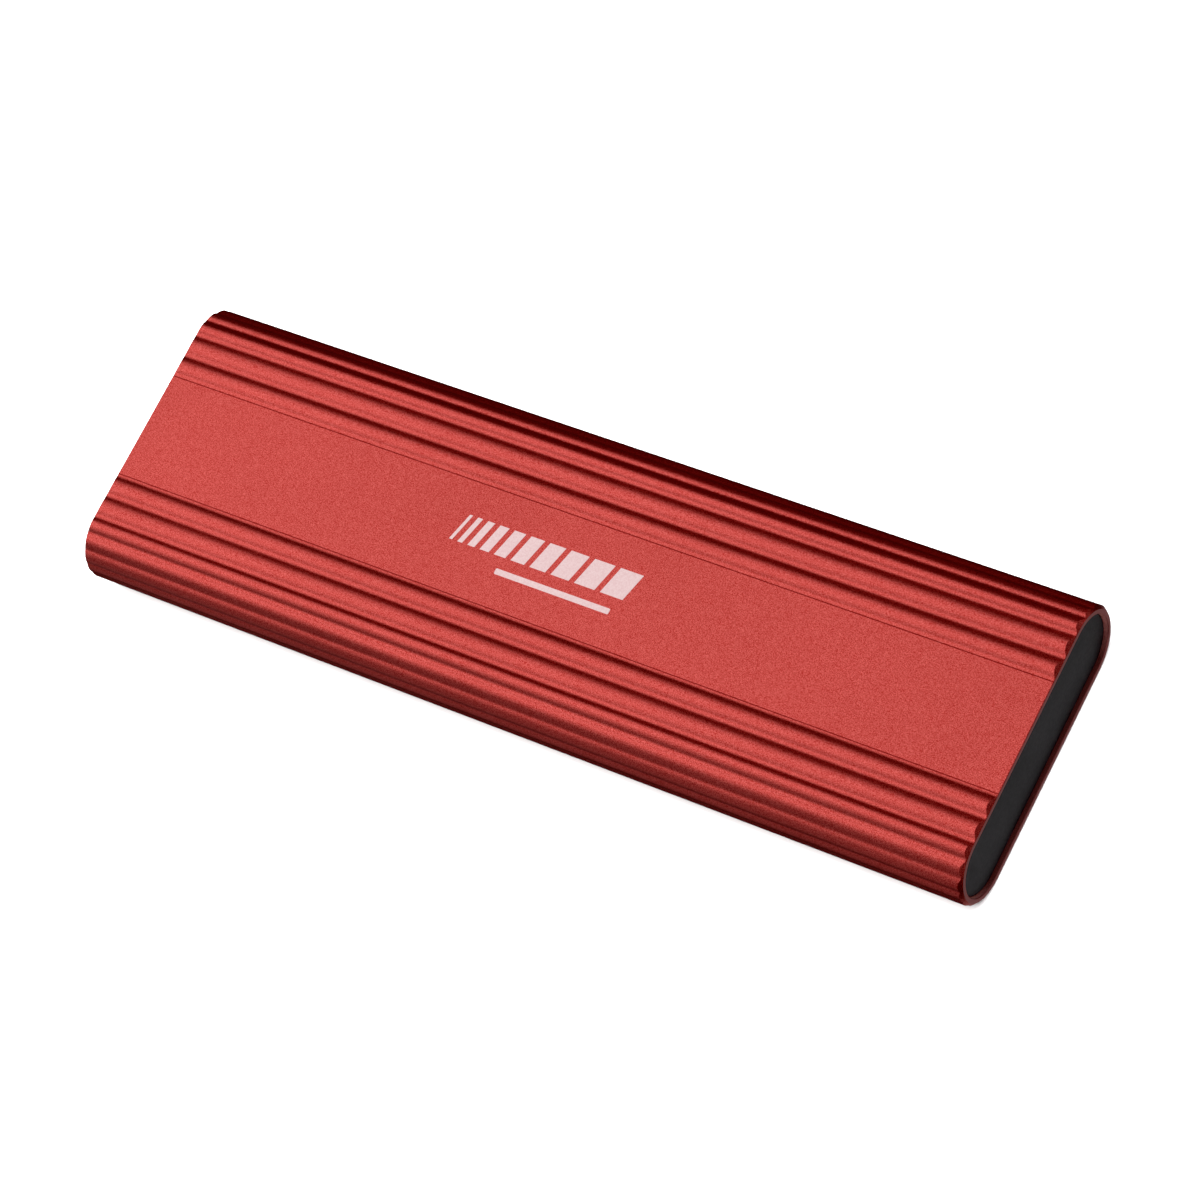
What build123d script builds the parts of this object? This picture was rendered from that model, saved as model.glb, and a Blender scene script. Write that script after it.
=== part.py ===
from build123d import *
import os
from math import cos, sin

os.makedirs("parts", exist_ok=True)

# ---------------------------------------------------------------------------
# Portable solid state drive: a ribbed aluminium tube closed by two plastic
# caps, holding a plastic tray with one circuit board and its USB-C receptacle.
#
# Frame: millimetres. X runs along the drive, +X towards the blind rear cap and
# -X towards the USB-C front cap. +Z is up, out of the printed flat band.
# The origin is at the middle of the underside, on the plane it rests on.
# ---------------------------------------------------------------------------

# ---- case section ----
LENGTH = 100.0           # overall, end face to end face
BASE_R = 4.0             # half thickness of the section without its ribs
HALF_FLAT = 10.8         # half the distance between the two round edges' centres
RIB_H = 0.30             # how far each rib stands above the base section
MID_Z = BASE_R + RIB_H   # height of the middle plane above the resting plane
END_X = LENGTH / 2
# valleys between ribs: distance along the base section from its top centre,
# height of the valley above the base section, radius of its bottom
VALLEYS = [
    (5.84, 0.0, 0.70),
    (8.14, 0.0, 0.70),
    (10.52, 0.0, 0.63),
    (12.35, 0.06, 0.53),
    (14.0, 0.10, 0.49),
    (15.6, 0.18, 0.45),
    (HALF_FLAT + BASE_R * 3.141592653589793 / 2, 0.20, 0.42),
]
HAIRLINE_Y = 5.70        # fine line that bounds the flat band
HAIRLINE_W = 0.10
HAIRLINE_D = 0.06
CAVITY_R = 3.1           # half thickness of the bore of the tube (0.9 wall)
POCKET_R = 3.5           # half thickness of the counterbore for a cap (0.5 rim)
POCKET_DEPTH = 1.62
REAR_CHAMFER = 0.42      # axial length of the chamfer that cuts the rib ends
FRONT_CHAMFER = 0.25
CHAMFER_RADIAL = 0.33

# ---- caps ----
CAP_RECESS = 0.40        # cap face below the rim of the tube
FLANGE_T = 1.2
FLANGE_R = 3.45
PLUG_R = 3.05
PLUG_WALL = 0.9
REAR_PLUG_LEN = 5.4
FRONT_PLUG_LEN = 4.2
CRUSH_RIB_R = 0.25
CRUSH_RIB_PROUD = 0.035
FLANGE_X = END_X - CAP_RECESS        # outer face of either cap
PLUG_X = FLANGE_X - FLANGE_T         # where flange meets plug

# ---- board ----
BOARD_T = 0.8
BOARD_Z0 = MID_Z - BOARD_T / 2
BOARD_Z1 = MID_Z + BOARD_T / 2
BOARD_X0 = -46.6
BOARD_X1 = 37.4
BOARD_W = 24.0
SCREW_X = 34.8
SCREW_Y = 9.6
SCREW_R = 0.80
BOARD_HOLE_R = 0.95

# ---- USB-C receptacle ----
USB_W = 8.94
USB_H = 3.16
USB_WALL = 0.30
USB_X0 = -49.5
USB_X1 = -42.5
USB_TONGUE_W = 6.69
USB_TONGUE_T = 0.70
USB_PITCH = 0.5
USB_CONTACT_W = 0.25
USB_TABS_X = [-45.4, -43.4]
USB_LEG_Y = 5.35

# ---- tray ----
TRAY_R = 3.0
TRAY_WALL = 0.7
TRAY_X0 = -44.0
TRAY_X1 = 42.9
TRAY_TOP = 1.2           # tray walls end this far above the middle plane
TRAY_FLOOR_Z = MID_Z - TRAY_R + TRAY_WALL
LEDGES_X = [-33.0, -11.5, 23.5]

# ---- packages on the board ----
BALL_H = 0.20
CONTROLLER = (-19.0, 0.0, 11.0, 11.0, 1.0)
FLASH_X = [0.0, 13.5]
FLASH_L = 12.0
FLASH_W = 18.0
FLASH_T = 1.0
PAD_TOP_Z = MID_Z + CAVITY_R - 0.03
PAD_BOTTOM_Z = MID_Z - CAVITY_R + 0.03


def section(x):
    """Plane across the drive at x; its axes are the drive's Y and Z, from the middle."""
    return Plane(origin=(x, 0, MID_Z), x_dir=(0, 1, 0), z_dir=(1, 0, 0))


def along(s, d):
    """Point at distance s along the base section from its top centre, d outside it."""
    if s <= HALF_FLAT:
        return (s, BASE_R + d)
    a = (s - HALF_FLAT) / BASE_R
    return (HALF_FLAT + (BASE_R + d) * sin(a), (BASE_R + d) * cos(a))


def rib_section():
    """Arcs of the ribs from the flat band to the edge of the section, as (start, middle, end) points.

    A valley is a hollow arc over its own point, and a rib is the round arc that
    touches the hollows on both its sides and reaches RIB_H above the base section.
    """
    hollows = []
    for s, h, r in VALLEYS:
        x, z = along(s, h)
        cx, cz = along(s, h + r)
        hollows.append((x, z, cx, cz, r))
    crests = []
    for k in range(len(VALLEYS) - 1):
        lo, hi = VALLEYS[k][0], VALLEYS[k + 1][0]
        for step in range(60):
            t = (lo + hi) / 2
            ax, az = along(t, RIB_H)
            bx, bz = along(t, RIB_H - 1)
            nx, nz = ax - bx, az - bz
            radii = []
            for x, z, cx, cz, r in hollows[k : k + 2]:
                d2 = (ax - cx) ** 2 + (az - cz) ** 2
                radii.append((d2 - r * r) / (2 * (r + nx * (ax - cx) + nz * (az - cz))))
            if radii[0] < radii[1]:
                lo = t
            else:
                hi = t
        rc = (radii[0] + radii[1]) / 2
        crests.append((ax - nx * rc, az - nz * rc, rc, ax, az))

    def touch(hollow, crest):
        x, z, cx, cz, r = hollow
        ox, oz, rc = crest[:3]
        return (cx + (ox - cx) * r / (r + rc), cz + (oz - cz) * r / (r + rc))

    def middle(hollow, p, q):
        x, z, cx, cz, r = hollow
        mx, mz = (p[0] + q[0]) / 2 - cx, (p[1] + q[1]) / 2 - cz
        length = (mx * mx + mz * mz) ** 0.5
        return (cx + mx / length * r, cz + mz / length * r)

    arcs = []
    for k, crest in enumerate(crests):
        start = hollows[k][:2] if k == 0 else touch(hollows[k], crests[k - 1])
        p, q = touch(hollows[k], crest), touch(hollows[k + 1], crest)
        arcs.append((start, middle(hollows[k], start, p), p))
        arcs.append((p, crest[3:], q))
    end = hollows[-1][:2]
    arcs.append((q, middle(hollows[-1], q, end), end))
    return arcs


def strip(points, t):
    """Outline of a bent strip of thickness t whose middle follows the points."""
    left, right = [], []
    for i, (x, z) in enumerate(points):
        x0, z0 = points[max(i - 1, 0)]
        x1, z1 = points[min(i + 1, len(points) - 1)]
        n = []
        for ax, az, bx, bz in ((x0, z0, x, z), (x, z, x1, z1)):
            length = ((bx - ax) ** 2 + (bz - az) ** 2) ** 0.5
            if length > 0:
                n.append((-(bz - az) / length, (bx - ax) / length))
        nx = sum(v[0] for v in n) / len(n)
        nz = sum(v[1] for v in n) / len(n)
        k = (t / 2) / (nx * nx + nz * nz)
        left.append((x + nx * k, z + nz * k))
        right.append((x - nx * k, z - nz * k))
    return left + right[::-1]


def finish(builder, name):
    builder.part.label = name
    export_step(builder.part, "parts/" + name + ".step")


# ---------------------------------------------------------------------------
# sleeve: ribbed tube, counterbored at both ends for the caps
# ---------------------------------------------------------------------------
with BuildSketch() as rib_outline:
    with BuildLine() as quarter:
        Polyline(
            (0, BASE_R),
            (HAIRLINE_Y - HAIRLINE_W / 2, BASE_R),
            (HAIRLINE_Y, BASE_R - HAIRLINE_D),
            (HAIRLINE_Y + HAIRLINE_W / 2, BASE_R),
            along(VALLEYS[0][0], 0),
        )
        for start, middle, end in rib_section():
            ThreePointArc(start, middle, end)
        mirror(about=Plane.XZ)
        mirror(about=Plane.YZ)
    make_face()

# what is left of the tube's ends inside their chamfers
with BuildPart() as chamfer_body:
    with BuildSketch(section(-END_X)):
        SlotCenterToCenter(2 * HALF_FLAT, 2 * BASE_R)
    with BuildSketch(section(-END_X + FRONT_CHAMFER)):
        SlotCenterToCenter(2 * HALF_FLAT, 2 * (BASE_R + CHAMFER_RADIAL))
    loft(ruled=True)
    with BuildSketch(section(-END_X + FRONT_CHAMFER)):
        SlotCenterToCenter(2 * HALF_FLAT, 2 * (BASE_R + CHAMFER_RADIAL))
    extrude(amount=LENGTH - FRONT_CHAMFER - REAR_CHAMFER)
    with BuildSketch(section(END_X - REAR_CHAMFER)):
        SlotCenterToCenter(2 * HALF_FLAT, 2 * (BASE_R + CHAMFER_RADIAL))
    with BuildSketch(section(END_X)):
        SlotCenterToCenter(2 * HALF_FLAT, 2 * BASE_R)
    loft(ruled=True)

with BuildPart() as sleeve:
    with BuildSketch(section(-END_X)):
        add(rib_outline.sketch)
    extrude(amount=LENGTH)
    add(chamfer_body.part, mode=Mode.INTERSECT)
    with BuildSketch(section(-END_X)):
        SlotCenterToCenter(2 * HALF_FLAT, 2 * CAVITY_R)
    extrude(amount=LENGTH, mode=Mode.SUBTRACT)
    with BuildSketch(section(-END_X)):
        SlotCenterToCenter(2 * HALF_FLAT, 2 * POCKET_R)
    extrude(amount=POCKET_DEPTH, mode=Mode.SUBTRACT)
    with BuildSketch(section(END_X)):
        SlotCenterToCenter(2 * HALF_FLAT, 2 * POCKET_R)
    extrude(amount=-POCKET_DEPTH, mode=Mode.SUBTRACT)
finish(sleeve, "sleeve")


# ---------------------------------------------------------------------------
# rear cap: blind plug with stiffening webs, held by crush ribs
# ---------------------------------------------------------------------------
CRUSH_Y = [-9.0, -3.0, 3.0, 9.0]

with BuildPart() as rear_cap:
    with BuildSketch(section(PLUG_X)):
        SlotCenterToCenter(2 * HALF_FLAT, 2 * FLANGE_R)
    extrude(amount=FLANGE_T)
    fillet(rear_cap.faces().sort_by(Axis.X)[-1].edges(), 0.18)
    with BuildSketch(section(PLUG_X)):
        SlotCenterToCenter(2 * HALF_FLAT, 2 * PLUG_R)
        for y in CRUSH_Y:
            for side in (-1, 1):
                with Locations((y, side * (PLUG_R - CRUSH_RIB_R + CRUSH_RIB_PROUD))):
                    Circle(CRUSH_RIB_R)
    extrude(amount=-REAR_PLUG_LEN)
    with BuildSketch(section(PLUG_X - REAR_PLUG_LEN)):
        SlotCenterToCenter(2 * HALF_FLAT, 2 * (PLUG_R - PLUG_WALL))
    extrude(amount=REAR_PLUG_LEN, mode=Mode.SUBTRACT)
    with BuildSketch(section(PLUG_X)):
        for y in (-7.2, 0.0, 7.2):
            with Locations((y, 0)):
                Rectangle(0.8, 2 * (PLUG_R - PLUG_WALL) + 0.6)
    extrude(amount=-REAR_PLUG_LEN + 1.0)
finish(rear_cap, "rear_cap")


# ---------------------------------------------------------------------------
# front cap: plug with the USB-C opening, the light-pipe hole and two snap arms
# ---------------------------------------------------------------------------
USB_OPEN_W = 9.10
USB_OPEN_H = 3.32
PIPE_Y = 9.0
PIPE_Z = 0.7             # above the middle plane
PIPE_R = 0.70
ARM_Y0 = 10.4
ARM_Y1 = 11.8
ARM_Z0 = -1.75
ARM_Z1 = -0.75
ARM_X1 = -38.8
NUB_X0 = -40.9
NUB_X1 = -39.7

with BuildPart() as front_cap:
    with BuildSketch(section(-PLUG_X)):
        SlotCenterToCenter(2 * HALF_FLAT, 2 * FLANGE_R)
    extrude(amount=-FLANGE_T)
    fillet(front_cap.faces().sort_by(Axis.X)[0].edges(), 0.18)
    with BuildSketch(section(-PLUG_X)):
        SlotCenterToCenter(2 * HALF_FLAT, 2 * PLUG_R)
        for y in CRUSH_Y:
            for side in (-1, 1):
                with Locations((y, side * (PLUG_R - CRUSH_RIB_R + CRUSH_RIB_PROUD))):
                    Circle(CRUSH_RIB_R)
    extrude(amount=FRONT_PLUG_LEN)
    with BuildSketch(section(-PLUG_X)):
        SlotCenterToCenter(2 * HALF_FLAT, 2 * (PLUG_R - PLUG_WALL))
    extrude(amount=FRONT_PLUG_LEN, mode=Mode.SUBTRACT)
    # webs either side of the receptacle, ending just short of the board
    with BuildSketch(section(-PLUG_X)):
        for side in (-1, 1):
            with Locations((side * 6.7, 0)):
                Rectangle(0.8, 2 * (PLUG_R - PLUG_WALL) + 0.6)
    extrude(amount=BOARD_X0 - 0.1 + PLUG_X)
    # snap arms under the board
    with BuildSketch(section(-PLUG_X)):
        for side in (-1, 1):
            with Locations((side * (ARM_Y0 + ARM_Y1) / 2, (ARM_Z0 + ARM_Z1) / 2)):
                Rectangle(ARM_Y1 - ARM_Y0, ARM_Z1 - ARM_Z0)
    extrude(amount=ARM_X1 + PLUG_X)
    for side in (-1, 1):
        with BuildSketch(Plane.XY.offset(MID_Z + ARM_Z0 + 0.1)):
            with BuildLine():
                Polyline(
                    (NUB_X0, side * (ARM_Y1 - 0.2)),
                    (NUB_X0, side * (ARM_Y1 + 1.3)),
                    (NUB_X0 + 0.4, side * (ARM_Y1 + 1.3)),
                    (NUB_X1, side * (ARM_Y1 + 0.4)),
                    (NUB_X1, side * (ARM_Y1 - 0.2)),
                    close=True,
                )
            make_face()
        extrude(amount=ARM_Z1 - ARM_Z0 - 0.2)
    # opening for the receptacle, with a lead-in, and the light-pipe hole
    with BuildSketch(section(-PLUG_X)):
        SlotOverall(USB_OPEN_W, USB_OPEN_H)
        with Locations((PIPE_Y, PIPE_Z)):
            Circle(PIPE_R + 0.05)
    extrude(amount=-FLANGE_T, mode=Mode.SUBTRACT)
    mouth = (
        front_cap.faces()
        .filter_by(Axis.X)
        .sort_by(Axis.X)[0]
        .inner_wires()
        .sort_by(SortBy.LENGTH)[-1]
    )
    chamfer(mouth.edges(), 0.22)
finish(front_cap, "front_cap")


# ---------------------------------------------------------------------------
# light pipe: clear rod with a collar behind the cap's flange
# ---------------------------------------------------------------------------
pipe_end = Plane(
    origin=(-FLANGE_X + 0.05, PIPE_Y, MID_Z + PIPE_Z), x_dir=(0, 1, 0), z_dir=(1, 0, 0)
)
with BuildPart() as light_pipe:
    with BuildSketch(pipe_end):
        Circle(PIPE_R)
    extrude(amount=2.80)
    with BuildSketch(pipe_end.offset(FLANGE_T - 0.03)):
        Circle(PIPE_R + 0.35)
    extrude(amount=0.45)
    fillet(light_pipe.edges().filter_by(GeomType.CIRCLE).sort_by(Axis.X)[0], 0.12)
finish(light_pipe, "light_pipe")


# ---------------------------------------------------------------------------
# carrier tray: open channel with ledges and clips for the board, two screw
# bosses, windows for the front cap's nubs and one for the lower thermal pad
# ---------------------------------------------------------------------------
PAD_X0 = -6.5
PAD_X1 = 20.0
LOWER_PAD_Y = 8.4

with BuildPart() as carrier_tray:
    with BuildSketch(section(TRAY_X0)):
        SlotCenterToCenter(2 * HALF_FLAT, 2 * TRAY_R)
        SlotCenterToCenter(2 * HALF_FLAT, 2 * (TRAY_R - TRAY_WALL), mode=Mode.SUBTRACT)
    extrude(amount=TRAY_X1 - TRAY_X0)
    with BuildSketch(section(TRAY_X1 - 0.8)):
        SlotCenterToCenter(2 * HALF_FLAT, 2 * TRAY_R)
    extrude(amount=0.8)
    # ledges, side stops and clip lips for the board, fused with the side walls
    for x in LEDGES_X:
        with BuildSketch(section(x - 2.5)):
            for side in (-1, 1):
                with BuildLine():
                    Polyline(
                        (side * 10.8, TRAY_FLOOR_Z - MID_Z - 0.3),
                        (side * 10.8, -BOARD_T / 2),
                        (side * (BOARD_W / 2 + 0.1), -BOARD_T / 2),
                        (side * (BOARD_W / 2 + 0.1), BOARD_T / 2 + 0.06),
                        (side * (BOARD_W / 2 - 0.35), BOARD_T / 2 + 0.06),
                        (side * (BOARD_W / 2 - 0.35), BOARD_T / 2 + 0.35),
                        (side * (BOARD_W / 2 + 0.1), TRAY_TOP),
                        (side * 13.3, TRAY_TOP),
                        (side * 13.3, 0.0),
                        (side * 12.9, -1.4),
                        (side * 11.9, TRAY_FLOOR_Z - MID_Z - 0.3),
                        close=True,
                    )
                make_face()
        extrude(amount=5.0)
    # bosses under the board for the screws
    with BuildSketch(Plane.XY.offset(TRAY_FLOOR_Z - 0.2)):
        with Locations((SCREW_X, SCREW_Y), (SCREW_X, -SCREW_Y)):
            Circle(1.8)
    extrude(amount=BOARD_Z0 - TRAY_FLOOR_Z + 0.2)
    with BuildSketch(Plane.XY.offset(BOARD_Z0)):
        with Locations((SCREW_X, SCREW_Y), (SCREW_X, -SCREW_Y)):
            Circle(SCREW_R + 0.01)
    extrude(amount=-(BOARD_Z0 - TRAY_FLOOR_Z - 0.1), mode=Mode.SUBTRACT)
    # the channel is open above its side walls
    with BuildSketch(Plane.XY.offset(MID_Z + TRAY_TOP)):
        with Locations(((TRAY_X0 + TRAY_X1) / 2, 0)):
            Rectangle(TRAY_X1 - TRAY_X0 + 2, 2 * (HALF_FLAT + TRAY_R) + 2)
    extrude(amount=TRAY_R, mode=Mode.SUBTRACT)
    # window in the floor for the lower thermal pad
    with BuildSketch(Plane.XY.offset(0)):
        with Locations(((PAD_X0 + PAD_X1) / 2, 0)):
            RectangleRounded(PAD_X1 - PAD_X0 + 0.8, 2 * LOWER_PAD_Y + 0.8, 0.8)
    extrude(amount=TRAY_FLOOR_Z + 0.2, mode=Mode.SUBTRACT)
    # windows in the side walls for the nubs of the front cap's arms
    with BuildSketch(Plane.XY.offset(MID_Z + ARM_Z0 + 0.0)):
        with Locations(((NUB_X0 + NUB_X1) / 2, 0)):
            Rectangle(NUB_X1 - NUB_X0 + 0.3, 40)
        with Locations(((NUB_X0 + NUB_X1) / 2, 0)):
            Rectangle(NUB_X1 - NUB_X0 + 0.3, 2 * ARM_Y1, mode=Mode.SUBTRACT)
    extrude(amount=ARM_Z1 - ARM_Z0, mode=Mode.SUBTRACT)
finish(carrier_tray, "carrier_tray")


# ---------------------------------------------------------------------------
# main board, notched at its front edge around the receptacle
# ---------------------------------------------------------------------------
with BuildPart() as main_board:
    with BuildSketch(Plane.XY.offset(BOARD_Z0)):
        with Locations(((BOARD_X0 + BOARD_X1) / 2, 0)):
            RectangleRounded(BOARD_X1 - BOARD_X0, BOARD_W, 0.8)
        with Locations((BOARD_X0, 0)):
            RectangleRounded(2 * (USB_X1 + 0.1 - BOARD_X0), USB_W + 0.26, 0.3, mode=Mode.SUBTRACT)
        with Locations((SCREW_X, SCREW_Y), (SCREW_X, -SCREW_Y)):
            Circle(BOARD_HOLE_R, mode=Mode.SUBTRACT)
        for x in USB_TABS_X:
            for side in (-1, 1):
                with Locations((x, side * USB_LEG_Y)):
                    SlotOverall(1.3, 0.55, mode=Mode.SUBTRACT)
        for side in (-1, 1):
            with Locations((-22.0, side * BOARD_W / 2), (6.5, side * BOARD_W / 2)):
                SlotOverall(4.0, 1.6, mode=Mode.SUBTRACT)
    extrude(amount=BOARD_T)
finish(main_board, "main_board")


# ---------------------------------------------------------------------------
# board screws: pan heads with a cross recess
# ---------------------------------------------------------------------------
with BuildPart() as board_screws:
    for y in (-SCREW_Y, SCREW_Y):
        with BuildSketch(Plane.XY.offset(BOARD_Z1)):
            with Locations((SCREW_X, y)):
                Circle(1.4)
        extrude(amount=0.70)
        fillet(
            board_screws.edges().filter_by(GeomType.CIRCLE).filter_by_position(
                Axis.Y, y - 0.1, y + 0.1
            ).sort_by(Axis.Z)[-1],
            0.35,
        )
        with BuildSketch(Plane.XY.offset(BOARD_Z1 + 0.70)):
            with Locations((SCREW_X, y)):
                Rectangle(1.5, 0.32)
                Rectangle(0.32, 1.5)
        extrude(amount=-0.40, mode=Mode.SUBTRACT)
        with BuildSketch(Plane.XY.offset(BOARD_Z1)):
            with Locations((SCREW_X, y)):
                Circle(SCREW_R)
        extrude(amount=-2.3)
finish(board_screws, "board_screws")


# ---------------------------------------------------------------------------
# USB-C receptacle: shell, insulator with tongue, mid plate and 24 contacts
# ---------------------------------------------------------------------------
with BuildPart() as usb_c_shell:
    with BuildSketch(section(USB_X0)):
        SlotOverall(USB_W, USB_H)
    extrude(amount=USB_X1 - USB_X0)
    # side tabs that lie on the board and turn down through its slots
    for x in USB_TABS_X:
        with BuildSketch(section(x - 0.45)):
            for side in (-1, 1):
                with BuildLine():
                    Polyline(
                        (side * 4.0, BOARD_T / 2),
                        (side * 4.0, BOARD_T / 2 + 0.3),
                        (side * (USB_LEG_Y + 0.15), BOARD_T / 2 + 0.3),
                        (side * (USB_LEG_Y + 0.15), -BOARD_T / 2 - 0.45),
                        (side * (USB_LEG_Y - 0.15), -BOARD_T / 2 - 0.45),
                        (side * (USB_LEG_Y - 0.15), BOARD_T / 2),
                        close=True,
                    )
                make_face()
        extrude(amount=0.9)
    with BuildSketch(section(USB_X0)):
        SlotOverall(USB_W - 2 * USB_WALL, USB_H - 2 * USB_WALL)
    extrude(amount=USB_X1 - USB_X0, mode=Mode.SUBTRACT)
finish(usb_c_shell, "usb_c_shell")

with BuildPart() as usb_c_mid_plate:
    with BuildSketch(Plane.XY.offset(MID_Z - 0.075)):
        with Locations((-46.05, 0)):
            RectangleRounded(5.3, 6.90, 0.3)
        for side in (-1, 1):
            with Locations((-46.6, side * 3.45)):
                SlotOverall(1.5, 0.5, mode=Mode.SUBTRACT)
    extrude(amount=0.15)
finish(usb_c_mid_plate, "usb_c_mid_plate")

TH = USB_TONGUE_T / 2
CONTACT_UPPER = [
    (-48.5, TH - 0.08),
    (-43.7, TH - 0.08),
    (-43.3, BOARD_T / 2),
    (-41.5, BOARD_T / 2),
    (-41.5, BOARD_T / 2 + 0.08),
    (-43.4, BOARD_T / 2 + 0.08),
    (-43.8, TH),
    (-48.5, TH),
]
with BuildPart() as usb_c_contacts:
    for i in range(12):
        y = (i - 5.5) * USB_PITCH
        for sign in (1, -1):
            with BuildSketch(Plane(origin=(0, y, MID_Z), x_dir=(1, 0, 0), z_dir=(0, -1, 0))):
                with BuildLine():
                    Polyline(*[(x, sign * z) for x, z in CONTACT_UPPER], close=True)
                make_face()
            extrude(amount=USB_CONTACT_W / 2, both=True)
finish(usb_c_contacts, "usb_c_contacts")

with BuildPart() as usb_c_insulator:
    with BuildSketch(section(-44.6)):
        SlotOverall(USB_W - 2 * USB_WALL - 0.04, USB_H - 2 * USB_WALL - 0.04)
    extrude(amount=2.05)
    with BuildSketch(section(-48.9)):
        Rectangle(USB_TONGUE_W, USB_TONGUE_T)
    extrude(amount=4.4)
    chamfer(
        usb_c_insulator.faces().sort_by(Axis.X)[0].edges().filter_by(Axis.Y), 0.14
    )
    add(usb_c_mid_plate.part, mode=Mode.SUBTRACT)
    add(usb_c_contacts.part, mode=Mode.SUBTRACT)
finish(usb_c_insulator, "usb_c_insulator")


# ---------------------------------------------------------------------------
# packages on the board: a moulded body standing on its field of solder balls
# ---------------------------------------------------------------------------
cx, cy, cl, cw, ct = CONTROLLER

with BuildPart() as controller_ic:
    with BuildSketch(Plane.XY.offset(BOARD_Z1)):
        with Locations((cx, cy)):
            RectangleRounded(cl - 0.9, cw - 0.9, 0.3)
    extrude(amount=BALL_H)
    with BuildSketch(Plane.XY.offset(BOARD_Z1 + BALL_H)):
        with Locations((cx, cy)):
            Rectangle(cl, cw)
    extrude(amount=ct)
    chamfer(controller_ic.faces().sort_by(Axis.Z)[-1].edges(), 0.06)
    with BuildSketch(Plane.XY.offset(BOARD_Z1 + BALL_H + ct)):
        with Locations((cx - cl / 2 + 1.0, cy - cw / 2 + 1.0)):
            Circle(0.35)
    extrude(amount=-0.06, mode=Mode.SUBTRACT)
finish(controller_ic, "controller_ic")

with BuildPart() as flash_packages_top:
    for x in FLASH_X:
        with BuildSketch(Plane.XY.offset(BOARD_Z1)):
            with Locations((x, 0)):
                RectangleRounded(FLASH_L - 1.2, FLASH_W - 1.2, 0.3)
        extrude(amount=BALL_H)
        with BuildSketch(Plane.XY.offset(BOARD_Z1 + BALL_H)):
            with Locations((x, 0)):
                Rectangle(FLASH_L, FLASH_W)
        extrude(amount=FLASH_T)
        with BuildSketch(Plane.XY.offset(BOARD_Z1 + BALL_H + FLASH_T)):
            with Locations((x - FLASH_L / 2 + 1.1, -FLASH_W / 2 + 1.1)):
                Circle(0.4)
        extrude(amount=-0.06, mode=Mode.SUBTRACT)
    chamfer(
        flash_packages_top.edges().group_by(Axis.Z)[-1].filter_by(GeomType.LINE), 0.06
    )
finish(flash_packages_top, "flash_packages_top")

with BuildPart() as flash_packages_bottom:
    for x in FLASH_X:
        with BuildSketch(Plane.XY.offset(BOARD_Z0)):
            with Locations((x, 0)):
                RectangleRounded(FLASH_L - 1.2, FLASH_W - 1.2, 0.3)
        extrude(amount=-BALL_H)
        with BuildSketch(Plane.XY.offset(BOARD_Z0 - BALL_H)):
            with Locations((x, 0)):
                Rectangle(FLASH_L, FLASH_W)
        extrude(amount=-FLASH_T)
    chamfer(
        flash_packages_bottom.edges().group_by(Axis.Z)[0].filter_by(GeomType.LINE), 0.06
    )
finish(flash_packages_bottom, "flash_packages_bottom")

FW_X, FW_Y = -33.6, -6.4
with BuildPart() as firmware_flash:
    with BuildSketch(Plane.XY.offset(BOARD_Z1 + 0.10)):
        with Locations((FW_X, FW_Y)):
            Rectangle(4.9, 3.9)
    extrude(amount=1.35)
    chamfer(firmware_flash.faces().sort_by(Axis.Z)[-1].edges().filter_by(Axis.X), 0.25)
    with BuildSketch(Plane.XY.offset(BOARD_Z1 + 1.45)):
        with Locations((FW_X - 1.85, FW_Y - 1.2)):
            Circle(0.28)
    extrude(amount=-0.08, mode=Mode.SUBTRACT)
    for i in range(4):
        for side in (-1, 1):
            lead = [
                (side * 1.7, 0.80),
                (side * 2.30, 0.80),
                (side * 2.55, 0.10),
                (side * 3.05, 0.10),
            ]
            with BuildSketch(
                Plane(
                    origin=(FW_X + (i - 1.5) * 1.27 - 0.2, FW_Y, BOARD_Z1),
                    x_dir=(0, 1, 0),
                    z_dir=(1, 0, 0),
                )
            ):
                with BuildLine():
                    Polyline(*strip(lead, 0.2), close=True)
                make_face()
            extrude(amount=0.4)
finish(firmware_flash, "firmware_flash")

PMIC_X, PMIC_Y = -33.2, 6.6
with BuildPart() as power_controller:
    with BuildSketch(Plane.XY.offset(BOARD_Z1)):
        with Locations((PMIC_X, PMIC_Y)):
            Rectangle(4.0, 4.0)
    extrude(amount=0.85)
    chamfer(power_controller.edges().filter_by(Axis.Z), 0.12)
    with BuildSketch(Plane.XY.offset(BOARD_Z1 + 0.85)):
        with Locations((PMIC_X - 1.45, PMIC_Y - 1.45)):
            Circle(0.22)
    extrude(amount=-0.06, mode=Mode.SUBTRACT)
    # edge lands
    for side in (-1, 1):
        with BuildSketch(Plane.XY.offset(BOARD_Z1)):
            for i in range(6):
                with Locations((PMIC_X + (i - 2.5) * 0.5, PMIC_Y + side * 2.03)):
                    Rectangle(0.24, 0.30)
                with Locations((PMIC_X + side * 2.03, PMIC_Y + (i - 2.5) * 0.5)):
                    Rectangle(0.30, 0.24)
        extrude(amount=0.20)
finish(power_controller, "power_controller")

INDUCTORS = [(-28.8, 9.0), (-28.8, 6.2), (-28.8, 3.4)]
with BuildPart() as power_inductors:
    for x, y in INDUCTORS:
        with BuildSketch(Plane.XY.offset(BOARD_Z1)):
            with Locations((x, y)):
                RectangleRounded(2.6, 2.1, 0.25)
        extrude(amount=1.2)
        with BuildSketch(Plane.XY.offset(BOARD_Z1)):
            for side in (-1, 1):
                with Locations((x + side * 1.15, y)):
                    Rectangle(0.5, 1.7)
        extrude(amount=0.55)
    chamfer(power_inductors.edges().group_by(Axis.Z)[-1], 0.12)
finish(power_inductors, "power_inductors")

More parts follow.
